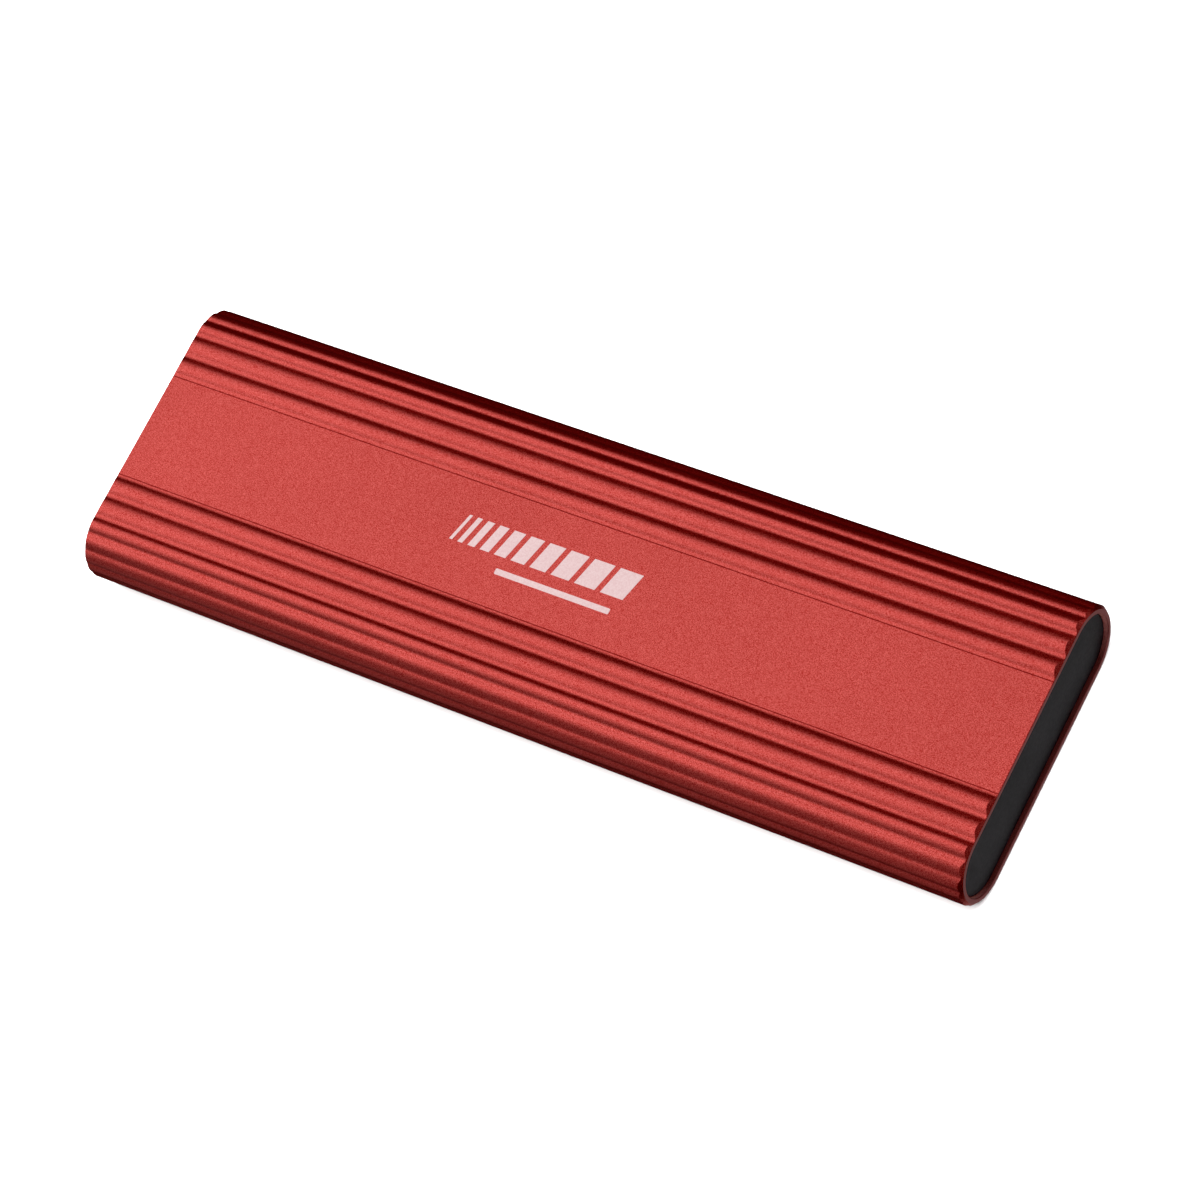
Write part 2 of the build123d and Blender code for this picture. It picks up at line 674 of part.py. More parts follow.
with BuildPart() as crystal:
    with BuildSketch(Plane.XY.offset(BOARD_Z1)):
        with Locations((-28.2, -4.6)):
            RectangleRounded(2.5, 3.2, 0.2)
    extrude(amount=0.45)
    with BuildSketch(Plane.XY.offset(BOARD_Z1 + 0.45)):
        with Locations((-28.2, -4.6)):
            RectangleRounded(2.2, 2.9, 0.3)
    extrude(amount=0.30)
    fillet(crystal.faces().sort_by(Axis.Z)[-1].edges(), 0.08)
finish(crystal, "crystal")

with BuildPart() as status_led:
    with BuildSketch(Plane.XY.offset(BOARD_Z1)):
        with Locations((-45.95, PIPE_Y)):
            Rectangle(0.9, 1.6)
    extrude(amount=0.30)
    with BuildSketch(Plane.XY.offset(BOARD_Z1 + 0.30)):
        with Locations((-45.95, PIPE_Y)):
            Rectangle(0.9, 1.1)
    extrude(amount=0.35)
    fillet(status_led.edges().group_by(Axis.Z)[-1].filter_by(Axis.X), 0.1)
finish(status_led, "status_led")


# ---------------------------------------------------------------------------
# small passive parts, one node for each kind
# ---------------------------------------------------------------------------
# each entry: x, y, 0 for lying along X or 1 for lying along Y
CAPS_TOP = (
    [(6.75, y, 1) for y in (-7.4, -4.4, -1.5, 1.5, 4.4, 7.4)]
    + [(-11.2, y, 1) for y in (-4.2, -2.1, 0.0, 2.1, 4.2)]
    + [(-26.1, y, 1) for y in (-1.6, 0.2, 2.0)]
    + [(x, 7.4, 0) for x in (-23.2, -21.2, -19.2, -17.2, -15.2)]
    + [(x, -7.4, 0) for x in (-21.2, -19.2, -17.2)]
    + [(21.4, y, 1) for y in (-6.6, -3.3, 3.3, 6.6)]
    + [(-36.9, 4.6, 1), (-36.9, 6.6, 1), (-36.9, 8.6, 1), (-40.0, 6.4, 1)]
)
CAPS_BOTTOM = [(x, y, 0) for x in (-22.0, -19.0, -16.0) for y in (-3.0, 0.0, 3.0)] + [
    (6.75, y, 1) for y in (-6.0, -2.0, 2.0, 6.0)
]
RESISTORS = (
    [(-43.2, 9.0, 0), (-41.2, 9.0, 0)]
    + [(-38.0, y, 0) for y in (-3.4, -2.0, 2.0)]
    + [(-30.8, y, 1) for y in (-2.2, 0.6)]
    + [(x, -9.4, 1) for x in (-24.6, -23.4, -16.0, -14.8)]
    + [(x, 10.2, 1) for x in (-8.4, -7.2)]
    + [(27.6, y, 1) for y in (-9.6, -8.0)]
)
BULK_TOP = [(26.0, 5.9), (26.0, 1.6)]


def lying(x, y, turned):
    """Plane on the board with its x along the part at x, y."""
    return Plane(
        origin=(x, y, 0), x_dir=(0, 1, 0) if turned else (1, 0, 0), z_dir=(0, 0, 1)
    )


with BuildPart() as ceramic_capacitors:
    for places, z, sign in ((CAPS_TOP, BOARD_Z1, 1), (CAPS_BOTTOM, BOARD_Z0, -1)):
        for x, y, turned in places:
            with BuildSketch(lying(x, y, turned).offset(z)):
                Rectangle(1.0, 0.50)
            extrude(amount=sign * 0.50)
            with BuildSketch(lying(x, y, turned).offset(z)):
                for side in (-1, 1):
                    with Locations((0, side * 0.25)):
                        Rectangle(0.5, 0.03)
            extrude(amount=sign * 0.50, mode=Mode.SUBTRACT)
            with BuildSketch(lying(x, y, turned).offset(z + sign * 0.50)):
                Rectangle(0.5, 0.50)
            extrude(amount=-sign * 0.015, mode=Mode.SUBTRACT)
finish(ceramic_capacitors, "ceramic_capacitors")

with BuildPart() as chip_resistors:
    for x, y, turned in RESISTORS:
        with BuildSketch(lying(x, y, turned).offset(BOARD_Z1)):
            Rectangle(1.0, 0.50)
        extrude(amount=0.35)
        with BuildSketch(lying(x, y, turned).offset(BOARD_Z1 + 0.35)):
            Rectangle(0.6, 0.50)
        extrude(amount=-0.02, mode=Mode.SUBTRACT)
finish(chip_resistors, "chip_resistors")

with BuildPart() as bulk_capacitors:
    for x, y in BULK_TOP:
        with BuildSketch(Plane.XY.offset(BOARD_Z1 + 0.1)):
            with Locations((x, y)):
                Rectangle(3.2, 2.7)
        extrude(amount=1.75)
        with BuildSketch(Plane.XY.offset(BOARD_Z1)):
            for side in (-1, 1):
                with Locations((x + side * 1.35, y)):
                    Rectangle(0.8, 2.0)
        extrude(amount=0.9)
    chamfer(
        bulk_capacitors.edges().group_by(Axis.Z)[-1].filter_by(GeomType.LINE), 0.15
    )
finish(bulk_capacitors, "bulk_capacitors")

with BuildPart() as esd_arrays:
    for y in (-1.6, 1.6):
        with BuildSketch(Plane.XY.offset(BOARD_Z1)):
            with Locations((-39.9, y)):
                Rectangle(1.0, 2.5)
        extrude(amount=0.50)
        with BuildSketch(Plane.XY.offset(BOARD_Z1)):
            for side in (-1, 1):
                for i in range(5):
                    with Locations((-39.9 + side * 0.5, y + (i - 2) * 0.5)):
                        Rectangle(0.16, 0.22)
        extrude(amount=0.14)
finish(esd_arrays, "esd_arrays")


# ---------------------------------------------------------------------------
# thermal pads, insulating film and ground spring
# ---------------------------------------------------------------------------
PACKAGE_TOP = BOARD_Z1 + BALL_H + 1.0
PACKAGE_BOTTOM = BOARD_Z0 - BALL_H - FLASH_T

with BuildPart() as thermal_pad_controller:
    with BuildSketch(Plane.XY.offset(PACKAGE_TOP)):
        with Locations((cx, cy)):
            RectangleRounded(10.6, 10.6, 0.5)
    extrude(amount=PAD_TOP_Z - PACKAGE_TOP)
    fillet(thermal_pad_controller.faces().sort_by(Axis.Z)[-1].edges(), 0.2)
finish(thermal_pad_controller, "thermal_pad_controller")

with BuildPart() as thermal_pad_flash:
    with BuildSketch(Plane.XY.offset(PACKAGE_TOP)):
        with Locations(((PAD_X0 + PAD_X1) / 2, 0)):
            RectangleRounded(PAD_X1 - PAD_X0, 17.2, 0.5)
    extrude(amount=PAD_TOP_Z - PACKAGE_TOP)
    fillet(thermal_pad_flash.faces().sort_by(Axis.Z)[-1].edges(), 0.2)
finish(thermal_pad_flash, "thermal_pad_flash")

with BuildPart() as thermal_pad_lower:
    with BuildSketch(Plane.XY.offset(PAD_BOTTOM_Z)):
        with Locations(((PAD_X0 + PAD_X1) / 2, 0)):
            RectangleRounded(PAD_X1 - PAD_X0, 2 * LOWER_PAD_Y, 0.5)
    extrude(amount=PACKAGE_BOTTOM - PAD_BOTTOM_Z)
    fillet(thermal_pad_lower.faces().sort_by(Axis.Z)[0].edges(), 0.2)
finish(thermal_pad_lower, "thermal_pad_lower")

FILM_X0 = -43.2
FILM_X1 = 41.6
with BuildPart() as insulating_film:
    with BuildSketch(Plane.XY.offset(TRAY_FLOOR_Z)):
        with Locations(((FILM_X0 + FILM_X1) / 2, 0)):
            RectangleRounded(FILM_X1 - FILM_X0, 19.8, 1.0)
        with Locations(((PAD_X0 + PAD_X1) / 2, 0)):
            RectangleRounded(
                PAD_X1 - PAD_X0 + 1.0, 2 * LOWER_PAD_Y + 1.0, 0.8, mode=Mode.SUBTRACT
            )
        with Locations((SCREW_X, SCREW_Y), (SCREW_X, -SCREW_Y)):
            Circle(2.0, mode=Mode.SUBTRACT)
    extrude(amount=0.1)
finish(insulating_film, "insulating_film")

SPRING = [
    (29.2, BOARD_Z1 + 0.08),
    (32.4, BOARD_Z1 + 0.08),
    (32.9, BOARD_Z1 + 0.30),
    (33.0, BOARD_Z1 + 0.75),
    (32.6, BOARD_Z1 + 1.10),
    (30.6, BOARD_Z1 + 2.45),
    (30.1, BOARD_Z1 + 2.58),
    (29.6, BOARD_Z1 + 2.45),
    (29.0, BOARD_Z1 + 1.90),
]
with BuildPart() as ground_spring:
    with BuildSketch(Plane(origin=(0, -2.8, 0), x_dir=(1, 0, 0), z_dir=(0, -1, 0))):
        with BuildLine():
            Polyline(*strip(SPRING, 0.15), close=True)
        make_face()
    extrude(amount=1.0, both=True)
finish(ground_spring, "ground_spring")
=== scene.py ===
import bpy, bmesh, math
from mathutils import Vector, Matrix, Euler


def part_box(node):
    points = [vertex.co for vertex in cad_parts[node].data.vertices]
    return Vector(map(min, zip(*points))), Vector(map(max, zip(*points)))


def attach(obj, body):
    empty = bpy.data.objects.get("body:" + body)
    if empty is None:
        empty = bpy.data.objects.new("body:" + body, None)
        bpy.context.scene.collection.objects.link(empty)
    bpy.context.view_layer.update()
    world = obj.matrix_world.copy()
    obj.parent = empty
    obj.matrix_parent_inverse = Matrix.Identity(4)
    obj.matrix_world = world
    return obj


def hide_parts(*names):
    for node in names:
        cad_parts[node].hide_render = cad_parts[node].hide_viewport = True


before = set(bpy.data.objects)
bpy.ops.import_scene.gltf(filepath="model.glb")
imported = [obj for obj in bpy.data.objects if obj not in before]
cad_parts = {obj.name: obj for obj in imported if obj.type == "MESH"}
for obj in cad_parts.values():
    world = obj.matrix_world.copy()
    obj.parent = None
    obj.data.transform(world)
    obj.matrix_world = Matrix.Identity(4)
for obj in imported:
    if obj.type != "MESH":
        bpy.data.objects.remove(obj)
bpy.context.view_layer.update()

MM = 0.001


scene = bpy.context.scene

# ---------------------------------------------------------------------------
# sizes shared with the model, in millimetres
# ---------------------------------------------------------------------------
END_X = 50.0
BASE_R = 4.0
HALF_FLAT = 10.8
RIB_H = 0.30
MID_Z = 4.3
VALLEYS = [(5.84, 0.0, 0.70), (8.14, 0.0, 0.70), (10.52, 0.0, 0.63), (12.35, 0.06, 0.53),
           (14.0, 0.10, 0.49), (15.6, 0.18, 0.45), (HALF_FLAT + BASE_R * math.pi / 2, 0.20, 0.42)]
HAIR_Y, HAIR_W, HAIR_D = 5.70, 0.10, 0.06
CAVITY_D = -0.9
POCKET_D = -0.5
POCKET_DEPTH = 1.62
REAR_CHAMFER, FRONT_CHAMFER, CHAMFER_RADIAL = 0.42, 0.25, 0.33

# ---------------------------------------------------------------------------
# node materials
# ---------------------------------------------------------------------------


class Mat:
    """A node material with a Principled shader, and short calls for its nodes."""

    def __init__(self, name, color=(0.5, 0.5, 0.5), rough=0.5, metal=0.0, **inputs):
        self.m = bpy.data.materials.new(name)
        self.m.use_nodes = True
        self.nt = self.m.node_tree
        self.b = self.nt.nodes["Principled BSDF"]
        self.b.inputs["Base Color"].default_value = (*color, 1)
        self.b.inputs["Roughness"].default_value = rough
        self.b.inputs["Metallic"].default_value = metal
        for k, v in inputs.items():
            self.b.inputs[k.replace("_", " ")].default_value = v
        self.m.diffuse_color = (*color, 1)
        self.coord = None

    def node(self, kind, **props):
        n = self.nt.nodes.new(kind)
        for k, v in props.items():
            setattr(n, k, v)
        return n

    def link(self, a, b):
        self.nt.links.new(a, b)

    def position(self, scale=(1, 1, 1), rot=(0, 0, 0)):
        if self.coord is None:
            self.coord = self.node("ShaderNodeTexCoord")
        m = self.node("ShaderNodeMapping")
        m.inputs["Scale"].default_value = scale
        m.inputs["Rotation"].default_value = rot
        self.link(self.coord.outputs["Object"], m.inputs["Vector"])
        return m.outputs["Vector"]

    def noise(self, scale, detail=2.0, rough=0.5, vec=None, stretch=(1, 1, 1)):
        n = self.node("ShaderNodeTexNoise")
        n.inputs["Scale"].default_value = scale
        n.inputs["Detail"].default_value = detail
        n.inputs["Roughness"].default_value = rough
        self.link(vec or self.position(stretch), n.inputs["Vector"])
        return n.outputs["Fac"]

    def ramp(self, fac, stops, mode="LINEAR"):
        r = self.node("ShaderNodeValToRGB")
        r.color_ramp.interpolation = mode
        e = r.color_ramp.elements
        while len(e) < len(stops):
            e.new(0.5)
        for el, (p, c) in zip(e, stops):
            el.position = p
            el.color = (*c, 1) if len(c) == 3 else c
        self.link(fac, r.inputs["Fac"])
        return r.outputs["Color"]

    def span(self, fac, lo, hi, a=0.0, b=1.0):
        r = self.node("ShaderNodeMapRange")
        r.inputs["From Min"].default_value = a
        r.inputs["From Max"].default_value = b
        r.inputs["To Min"].default_value = lo
        r.inputs["To Max"].default_value = hi
        self.link(fac, r.inputs["Value"])
        return r.outputs["Result"]

    def math(self, op, a, b=None):
        n = self.node("ShaderNodeMath", operation=op)
        for i, x in enumerate((a, b)):
            if x is None:
                continue
            if isinstance(x, (int, float)):
                n.inputs[i].default_value = x
            else:
                self.link(x, n.inputs[i])
        return n.outputs["Value"]

    def mix(self, fac, a, b, mode="MIX"):
        n = self.node("ShaderNodeMix", data_type="RGBA", blend_type=mode)
        for sock, x in ((n.inputs["Factor"], fac), (n.inputs["A"], a), (n.inputs["B"], b)):
            pass
        ins = [s for s in n.inputs if s.type == "RGBA"]
        fac_in = [s for s in n.inputs if s.name == "Factor" and s.type == "VALUE"][0]
        if isinstance(fac, (int, float)):
            fac_in.default_value = fac
        else:
            self.link(fac, fac_in)
        for s, x in zip(ins, (a, b)):
            if isinstance(x, tuple):
                s.default_value = (*x, 1)
            else:
                self.link(x, s)
        return [s for s in n.outputs if s.type == "RGBA"][0]

    def color(self, c):
        self.link(c, self.b.inputs["Base Color"])

    def rough(self, r):
        self.link(r, self.b.inputs["Roughness"])

    def bump(self, height, strength=0.3, distance=1e-5, after=None):
        n = self.node("ShaderNodeBump")
        n.inputs["Strength"].default_value = strength
        n.inputs["Distance"].default_value = distance
        self.link(height, n.inputs["Height"])
        if after is not None:
            self.link(after, n.inputs["Normal"])
        self.link(n.outputs["Normal"], self.b.inputs["Normal"])
        return n.outputs["Normal"]

    def axis(self, name):
        s = self.node("ShaderNodeSeparateXYZ")
        self.link(self.position(), s.inputs["Vector"])
        return s.outputs[name]


def anodised(name, base, rough, grain_strength, metal=1.0, speckle=0.15):
    m = Mat(name, base, rough, metal)
    fine = m.noise(12500, 2.0, 0.60)
    mid = m.noise(2600, 2.0, 0.5)
    wide = m.noise(60, 2.0, 0.5)
    lo = tuple(x * (1 - speckle * k) for x, k in zip(base, (1.0, 2.2, 2.2)))
    hi = tuple(min(1, x * (1 + speckle * k)) for x, k in zip(base, (0.9, 2.2, 2.2)))
    c = m.ramp(fine, [(0.36, lo), (0.64, hi)])
    c2 = m.ramp(wide, [(0.3, (0.96, 0.96, 0.96)), (0.7, (1.03, 1.03, 1.03))])
    m.color(m.mix(1.0, c, c2, "MULTIPLY"))
    m.rough(m.math("ADD", m.span(mid, rough - 0.02, rough + 0.02), m.span(wide, -0.012, 0.012)))
    first = m.bump(fine, grain_strength, 3.0e-5)
    m.bump(mid, grain_strength * 0.25, 4.0e-5, first)
    return m


RED = (0.66, 0.097, 0.086)
mat_sleeve = anodised("anodised_red", RED, 0.35, 0.6, speckle=0.32)
mat_rim = anodised("anodised_rim", (0.44, 0.135, 0.13), 0.32, 0.12, speckle=0.06)
mat_bore = anodised("anodised_bore", (0.32, 0.115, 0.105), 0.55, 0.2, metal=0.2)
# darker red for the faces of the hairline groove: painted shade in the groove
mat_groove_painted_shade = anodised("groove_painted_shade", (0.52, 0.060, 0.055), 0.5, 0.2)

# laser mark: the dye burnt off down to bare, matt aluminium
mat_ink = Mat("laser_mark", (0.98, 0.71, 0.71), 0.42, 1.0)
mat_ink.color(mat_ink.ramp(mat_ink.noise(6800, 2.0), [(0.36, (0.93, 0.66, 0.66)), (0.64, (1.0, 0.76, 0.76))]))
mat_ink.rough(mat_ink.span(mat_ink.noise(2600, 2.0), 0.38, 0.46))
mat_ink.bump(mat_ink.noise(6800, 2.0), 0.35, 1.6e-5)


def moulded(name, color, rough, grain=2600, strength=0.35, vary=0.18, spec=0.5):
    m = Mat(name, color, rough)
    m.b.inputs["Specular IOR Level"].default_value = spec
    a = m.noise(grain, 3.0, 0.6)
    w = m.noise(90, 3.0, 0.6)
    lo = tuple(x * (1 - vary) for x in color)
    hi = tuple(min(1, x * (1 + vary)) for x in color)
    m.color(m.ramp(w, [(0.35, lo), (0.65, hi)]))
    m.rough(m.span(a, rough - 0.08, rough + 0.08))
    v = m.node("ShaderNodeTexVoronoi")
    v.inputs["Scale"].default_value = grain * 1.4
    m.link(m.position(), v.inputs["Vector"])
    first = m.bump(v.outputs["Distance"], strength * 0.5, 1.0e-5)
    m.bump(a, strength, 1.4e-5, first)
    return m


mat_cap = moulded("cap_plastic", (0.0144, 0.0122, 0.0147), 0.52, 3200, 0.5)
mat_tray = moulded("tray_plastic", (0.052, 0.053, 0.058), 0.50, 1800, 0.3)
mat_lcp = moulded("connector_plastic", (0.016, 0.016, 0.017), 0.42, 4200, 0.2)

# clear light pipe, frosted at its face
mat_clear = Mat("clear_plastic", (0.90, 0.93, 0.95), 0.12)
mat_clear.b.inputs["Transmission Weight"].default_value = 0.75
mat_clear.b.inputs["IOR"].default_value = 1.49
mat_clear.rough(mat_clear.span(mat_clear.noise(3000, 2.0), 0.10, 0.24))
mat_clear.bump(mat_clear.noise(5000, 2.0), 0.1, 5e-6)


def brushed(name, color, rough, along="X", strength=0.25, metal=1.0):
    m = Mat(name, color, rough, metal)
    st = {"X": (60, 3500, 3500), "Y": (3500, 60, 3500), "Z": (3500, 3500, 60)}[along]
    lines = m.noise(1.0, 3.0, 0.6, stretch=st)
    spots = m.noise(900, 3.0, 0.6)
    lo = tuple(x * 0.86 for x in color)
    m.color(m.mix(m.span(spots, 0.0, 1.0, 0.35, 0.7), lo, color))
    m.rough(m.math("ADD", m.span(lines, rough - 0.06, rough + 0.06), m.span(spots, -0.05, 0.05)))
    m.bump(lines, strength, 3e-6)
    return m


mat_steel = brushed("stamped_steel", (0.60, 0.59, 0.57), 0.27)
mat_screw = brushed("screw_steel", (0.52, 0.52, 0.53), 0.30, "Y")
mat_gold = brushed("contact_gold", (0.86, 0.62, 0.25), 0.22)
mat_spring = brushed("spring_bronze", (0.82, 0.64, 0.34), 0.25)
mat_can = brushed("crystal_can", (0.70, 0.68, 0.64), 0.24, "Y")
mat_tin = brushed("tinned_end", (0.66, 0.65, 0.62), 0.30, "Z", 0.4)
mat_solder = Mat("solder", (0.62, 0.61, 0.59), 0.28, 1.0)
mat_solder.rough(mat_solder.span(mat_solder.noise(2500, 3.0), 0.18, 0.42))
mat_solder.bump(mat_solder.noise(1800, 3.0), 0.35, 1e-5)

# package moulding compound, laser-dulled top
mat_resin = moulded("package_resin", (0.022, 0.023, 0.025), 0.46, 5200, 0.35)
mat_dimple = Mat("package_dimple", (0.03, 0.031, 0.033), 0.22)
mat_dimple.bump(mat_dimple.noise(4000, 2.0), 0.1, 4e-6)
mat_ferrite = moulded("ferrite", (0.075, 0.075, 0.080), 0.55, 2400, 0.6)

mat_ceramic = Mat("capacitor_ceramic", (0.48, 0.35, 0.23), 0.42)
mat_ceramic.color(mat_ceramic.ramp(mat_ceramic.noise(1500, 3.0), [(0.3, (0.42, 0.29, 0.18)), (0.7, (0.55, 0.42, 0.29))]))
mat_ceramic.bump(mat_ceramic.noise(3500, 3.0), 0.25, 8e-6)

mat_alumina = Mat("resistor_alumina", (0.80, 0.79, 0.76), 0.5)
mat_alumina.color(mat_alumina.ramp(mat_alumina.noise(2500, 2.0), [(0.3, (0.74, 0.73, 0.70)), (0.7, (0.84, 0.83, 0.80))]))
mat_element = Mat("resistor_element", (0.018, 0.018, 0.020), 0.25)
mat_element.rough(mat_element.span(mat_element.noise(2500, 2.0), 0.18, 0.35))

mat_led = Mat("led_resin", (0.88, 0.84, 0.62), 0.25)
mat_led.b.inputs["Subsurface Weight"].default_value = 0.3
mat_led.b.inputs["Subsurface Scale"].default_value = 0.0003
mat_led.color(mat_led.ramp(mat_led.noise(2200, 2.0), [(0.35, (0.84, 0.80, 0.52)), (0.7, (0.93, 0.90, 0.74))]))

mat_silicone = Mat("thermal_silicone", (0.36, 0.42, 0.50), 0.62)
mat_silicone.color(mat_silicone.ramp(mat_silicone.noise(700, 5.0, 0.7), [(0.3, (0.32, 0.375, 0.445)), (0.7, (0.41, 0.47, 0.55))]))
mat_silicone.rough(mat_silicone.span(mat_silicone.noise(1500, 3.0), 0.52, 0.72))
_n = mat_silicone.bump(mat_silicone.noise(2600, 4.0, 0.7), 0.5, 2e-5)
mat_silicone.bump(mat_silicone.noise(260, 3.0), 0.4, 8e-5, _n)

mat_film = Mat("film_polyester", (0.020, 0.020, 0.024), 0.20)
mat_film.rough(mat_film.span(mat_film.noise(500, 4.0), 0.14, 0.30))
mat_film.bump(mat_film.noise(120, 3.0), 0.25, 6e-5)

# solder mask with buried tracks, and the bare laminate at the board's edges
mat_mask = Mat("solder_mask", (0.008, 0.060, 0.030), 0.30)
_v = mat_mask.position()
_br = mat_mask.node("ShaderNodeTexBrick")
_br.offset = 0.5
_br.squash = 0.6
_br.squash_frequency = 3
_br.inputs["Scale"].default_value = 1.0
_br.inputs["Mortar Size"].default_value = 0.00011
_br.inputs["Mortar Smooth"].default_value = 0.15
_br.inputs["Brick Width"].default_value = 0.0045
_br.inputs["Row Height"].default_value = 0.00062
mat_mask.link(_v, _br.inputs["Vector"])
_track = mat_mask.math("SUBTRACT", 1.0, _br.outputs["Fac"])
_zone = mat_mask.span(mat_mask.noise(140, 1.0), 0.0, 1.0, 0.46, 0.50)
_track = mat_mask.math("MULTIPLY", _track, _zone)
mat_mask.color(mat_mask.mix(_track, (0.006, 0.044, 0.022), (0.012, 0.088, 0.044)))
mat_mask.rough(mat_mask.span(mat_mask.noise(1600, 3.0), 0.24, 0.38))
_n = mat_mask.bump(_track, 0.6, 2.2e-5)
mat_mask.bump(mat_mask.noise(3000, 3.0), 0.12, 8e-6, _n)

mat_laminate = Mat("board_laminate", (0.42, 0.40, 0.20), 0.62)
mat_laminate.color(mat_laminate.ramp(mat_laminate.noise(1.0, 3.0, stretch=(900, 900, 9000)), [(0.35, (0.30, 0.30, 0.13)), (0.65, (0.50, 0.47, 0.27))]))
mat_laminate.bump(mat_laminate.noise(1.0, 2.0, stretch=(1500, 1500, 12000)), 0.4, 1.2e-5)
mat_silk = Mat("silkscreen", (0.80, 0.80, 0.78), 0.55)
mat_silk.color(mat_silk.ramp(mat_silk.noise(5000, 2.0), [(0.3, (0.70, 0.70, 0.68)), (0.6, (0.84, 0.84, 0.82))]))

# ---------------------------------------------------------------------------
# mesh helpers
# ---------------------------------------------------------------------------


def new_object(name, verts, faces, mats, index=None, scale=MM):
    me = bpy.data.meshes.new(name)
    me.from_pydata([tuple(c * scale for c in v) for v in verts], [], faces)
    for m in mats:
        me.materials.append(m.m)
    if index is not None:
        me.polygons.foreach_set("material_index", index)
    me.validate()
    me.update()
    o = bpy.data.objects.new(name, me)
    scene.collection.objects.link(o)
    return o


def shade(o, angle=28.0):
    """Smooth shading, with edges sharper than the angle kept sharp."""
    bm = bmesh.new()
    bm.from_mesh(o.data)
    for f in bm.faces:
        f.smooth = True
    for e in bm.edges:
        if len(e.link_faces) == 2:
            e.smooth = e.calc_face_angle(0.0) < math.radians(angle)
        else:
            e.smooth = False
    bm.to_mesh(o.data)
    bm.free()
    return o


def outward(o):
    bm = bmesh.new()
    bm.from_mesh(o.data)
    bmesh.ops.recalc_face_normals(bm, faces=bm.faces)
    bm.to_mesh(o.data)
    bm.free()


def bevel(o, width, segments=2, angle=35):
    """Small worn edges, made part of the mesh."""
    mod = o.modifiers.new("edge", "BEVEL")
    mod.width = width * MM
    mod.segments = segments
    mod.limit_method = "ANGLE"
    mod.angle_limit = math.radians(angle)
    mod.harden_normals = False
    mod.use_clamp_overlap = True
    dg = bpy.context.evaluated_depsgraph_get()
    me = bpy.data.meshes.new_from_object(o.evaluated_get(dg))
    o.modifiers.remove(mod)
    old = o.data
    o.data = me
    me.name = old.name + "_b"
    return o


def islands_of(node):
    """(lowest corner, highest corner) in millimetres of each separate solid of a CAD node."""
    bm = bmesh.new()
    bm.from_mesh(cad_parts[node].data)
    bmesh.ops.remove_doubles(bm, verts=bm.verts, dist=2e-7)
    bm.verts.ensure_lookup_table()
    seen, out = set(), []
    for v in bm.verts:
        if v.index in seen:
            continue
        stack, pts = [v], []
        seen.add(v.index)
        while stack:
            w = stack.pop()
            pts.append(w.co)
            for e in w.link_edges:
                x = e.other_vert(w)
                if x.index not in seen:
                    seen.add(x.index)
                    stack.append(x)
        lo = [min(p[i] for p in pts) * 1000 for i in range(3)]
        hi = [max(p[i] for p in pts) * 1000 for i in range(3)]
        out.append((lo, hi))
    bm.free()
    out.sort(key=lambda b: (round(b[0][0], 2), round(b[0][1], 2), round(b[0][2], 2)))
    return out


def copy_of(node, name, mats, chooser=None, angle=28.0, edge=None, segs=2):
    """A piece with a CAD node's own shape, welded, with its faces given to materials and its edges eased."""
    bm = bmesh.new()
    bm.from_mesh(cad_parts[node].data)
    bmesh.ops.remove_doubles(bm, verts=bm.verts, dist=2e-7)
    bmesh.ops.dissolve_limit(bm, angle_limit=math.radians(0.6), verts=bm.verts, edges=bm.edges)
    bmesh.ops.triangulate(bm, faces=[f for f in bm.faces if len(f.verts) > 4])
    me = bpy.data.meshes.new(name)
    bm.to_mesh(me)
    bm.free()
    while me.materials:
        me.materials.pop()
    for m in mats:
        me.materials.append(m.m)
    o = bpy.data.objects.new(name, me)
    scene.collection.objects.link(o)
    for p in me.polygons:
        c = p.center * 1000
        p.material_index = chooser(c, p.normal) if chooser else 0
    if edge:
        bevel(o, edge, segs)
    shade(o, angle)
    return o


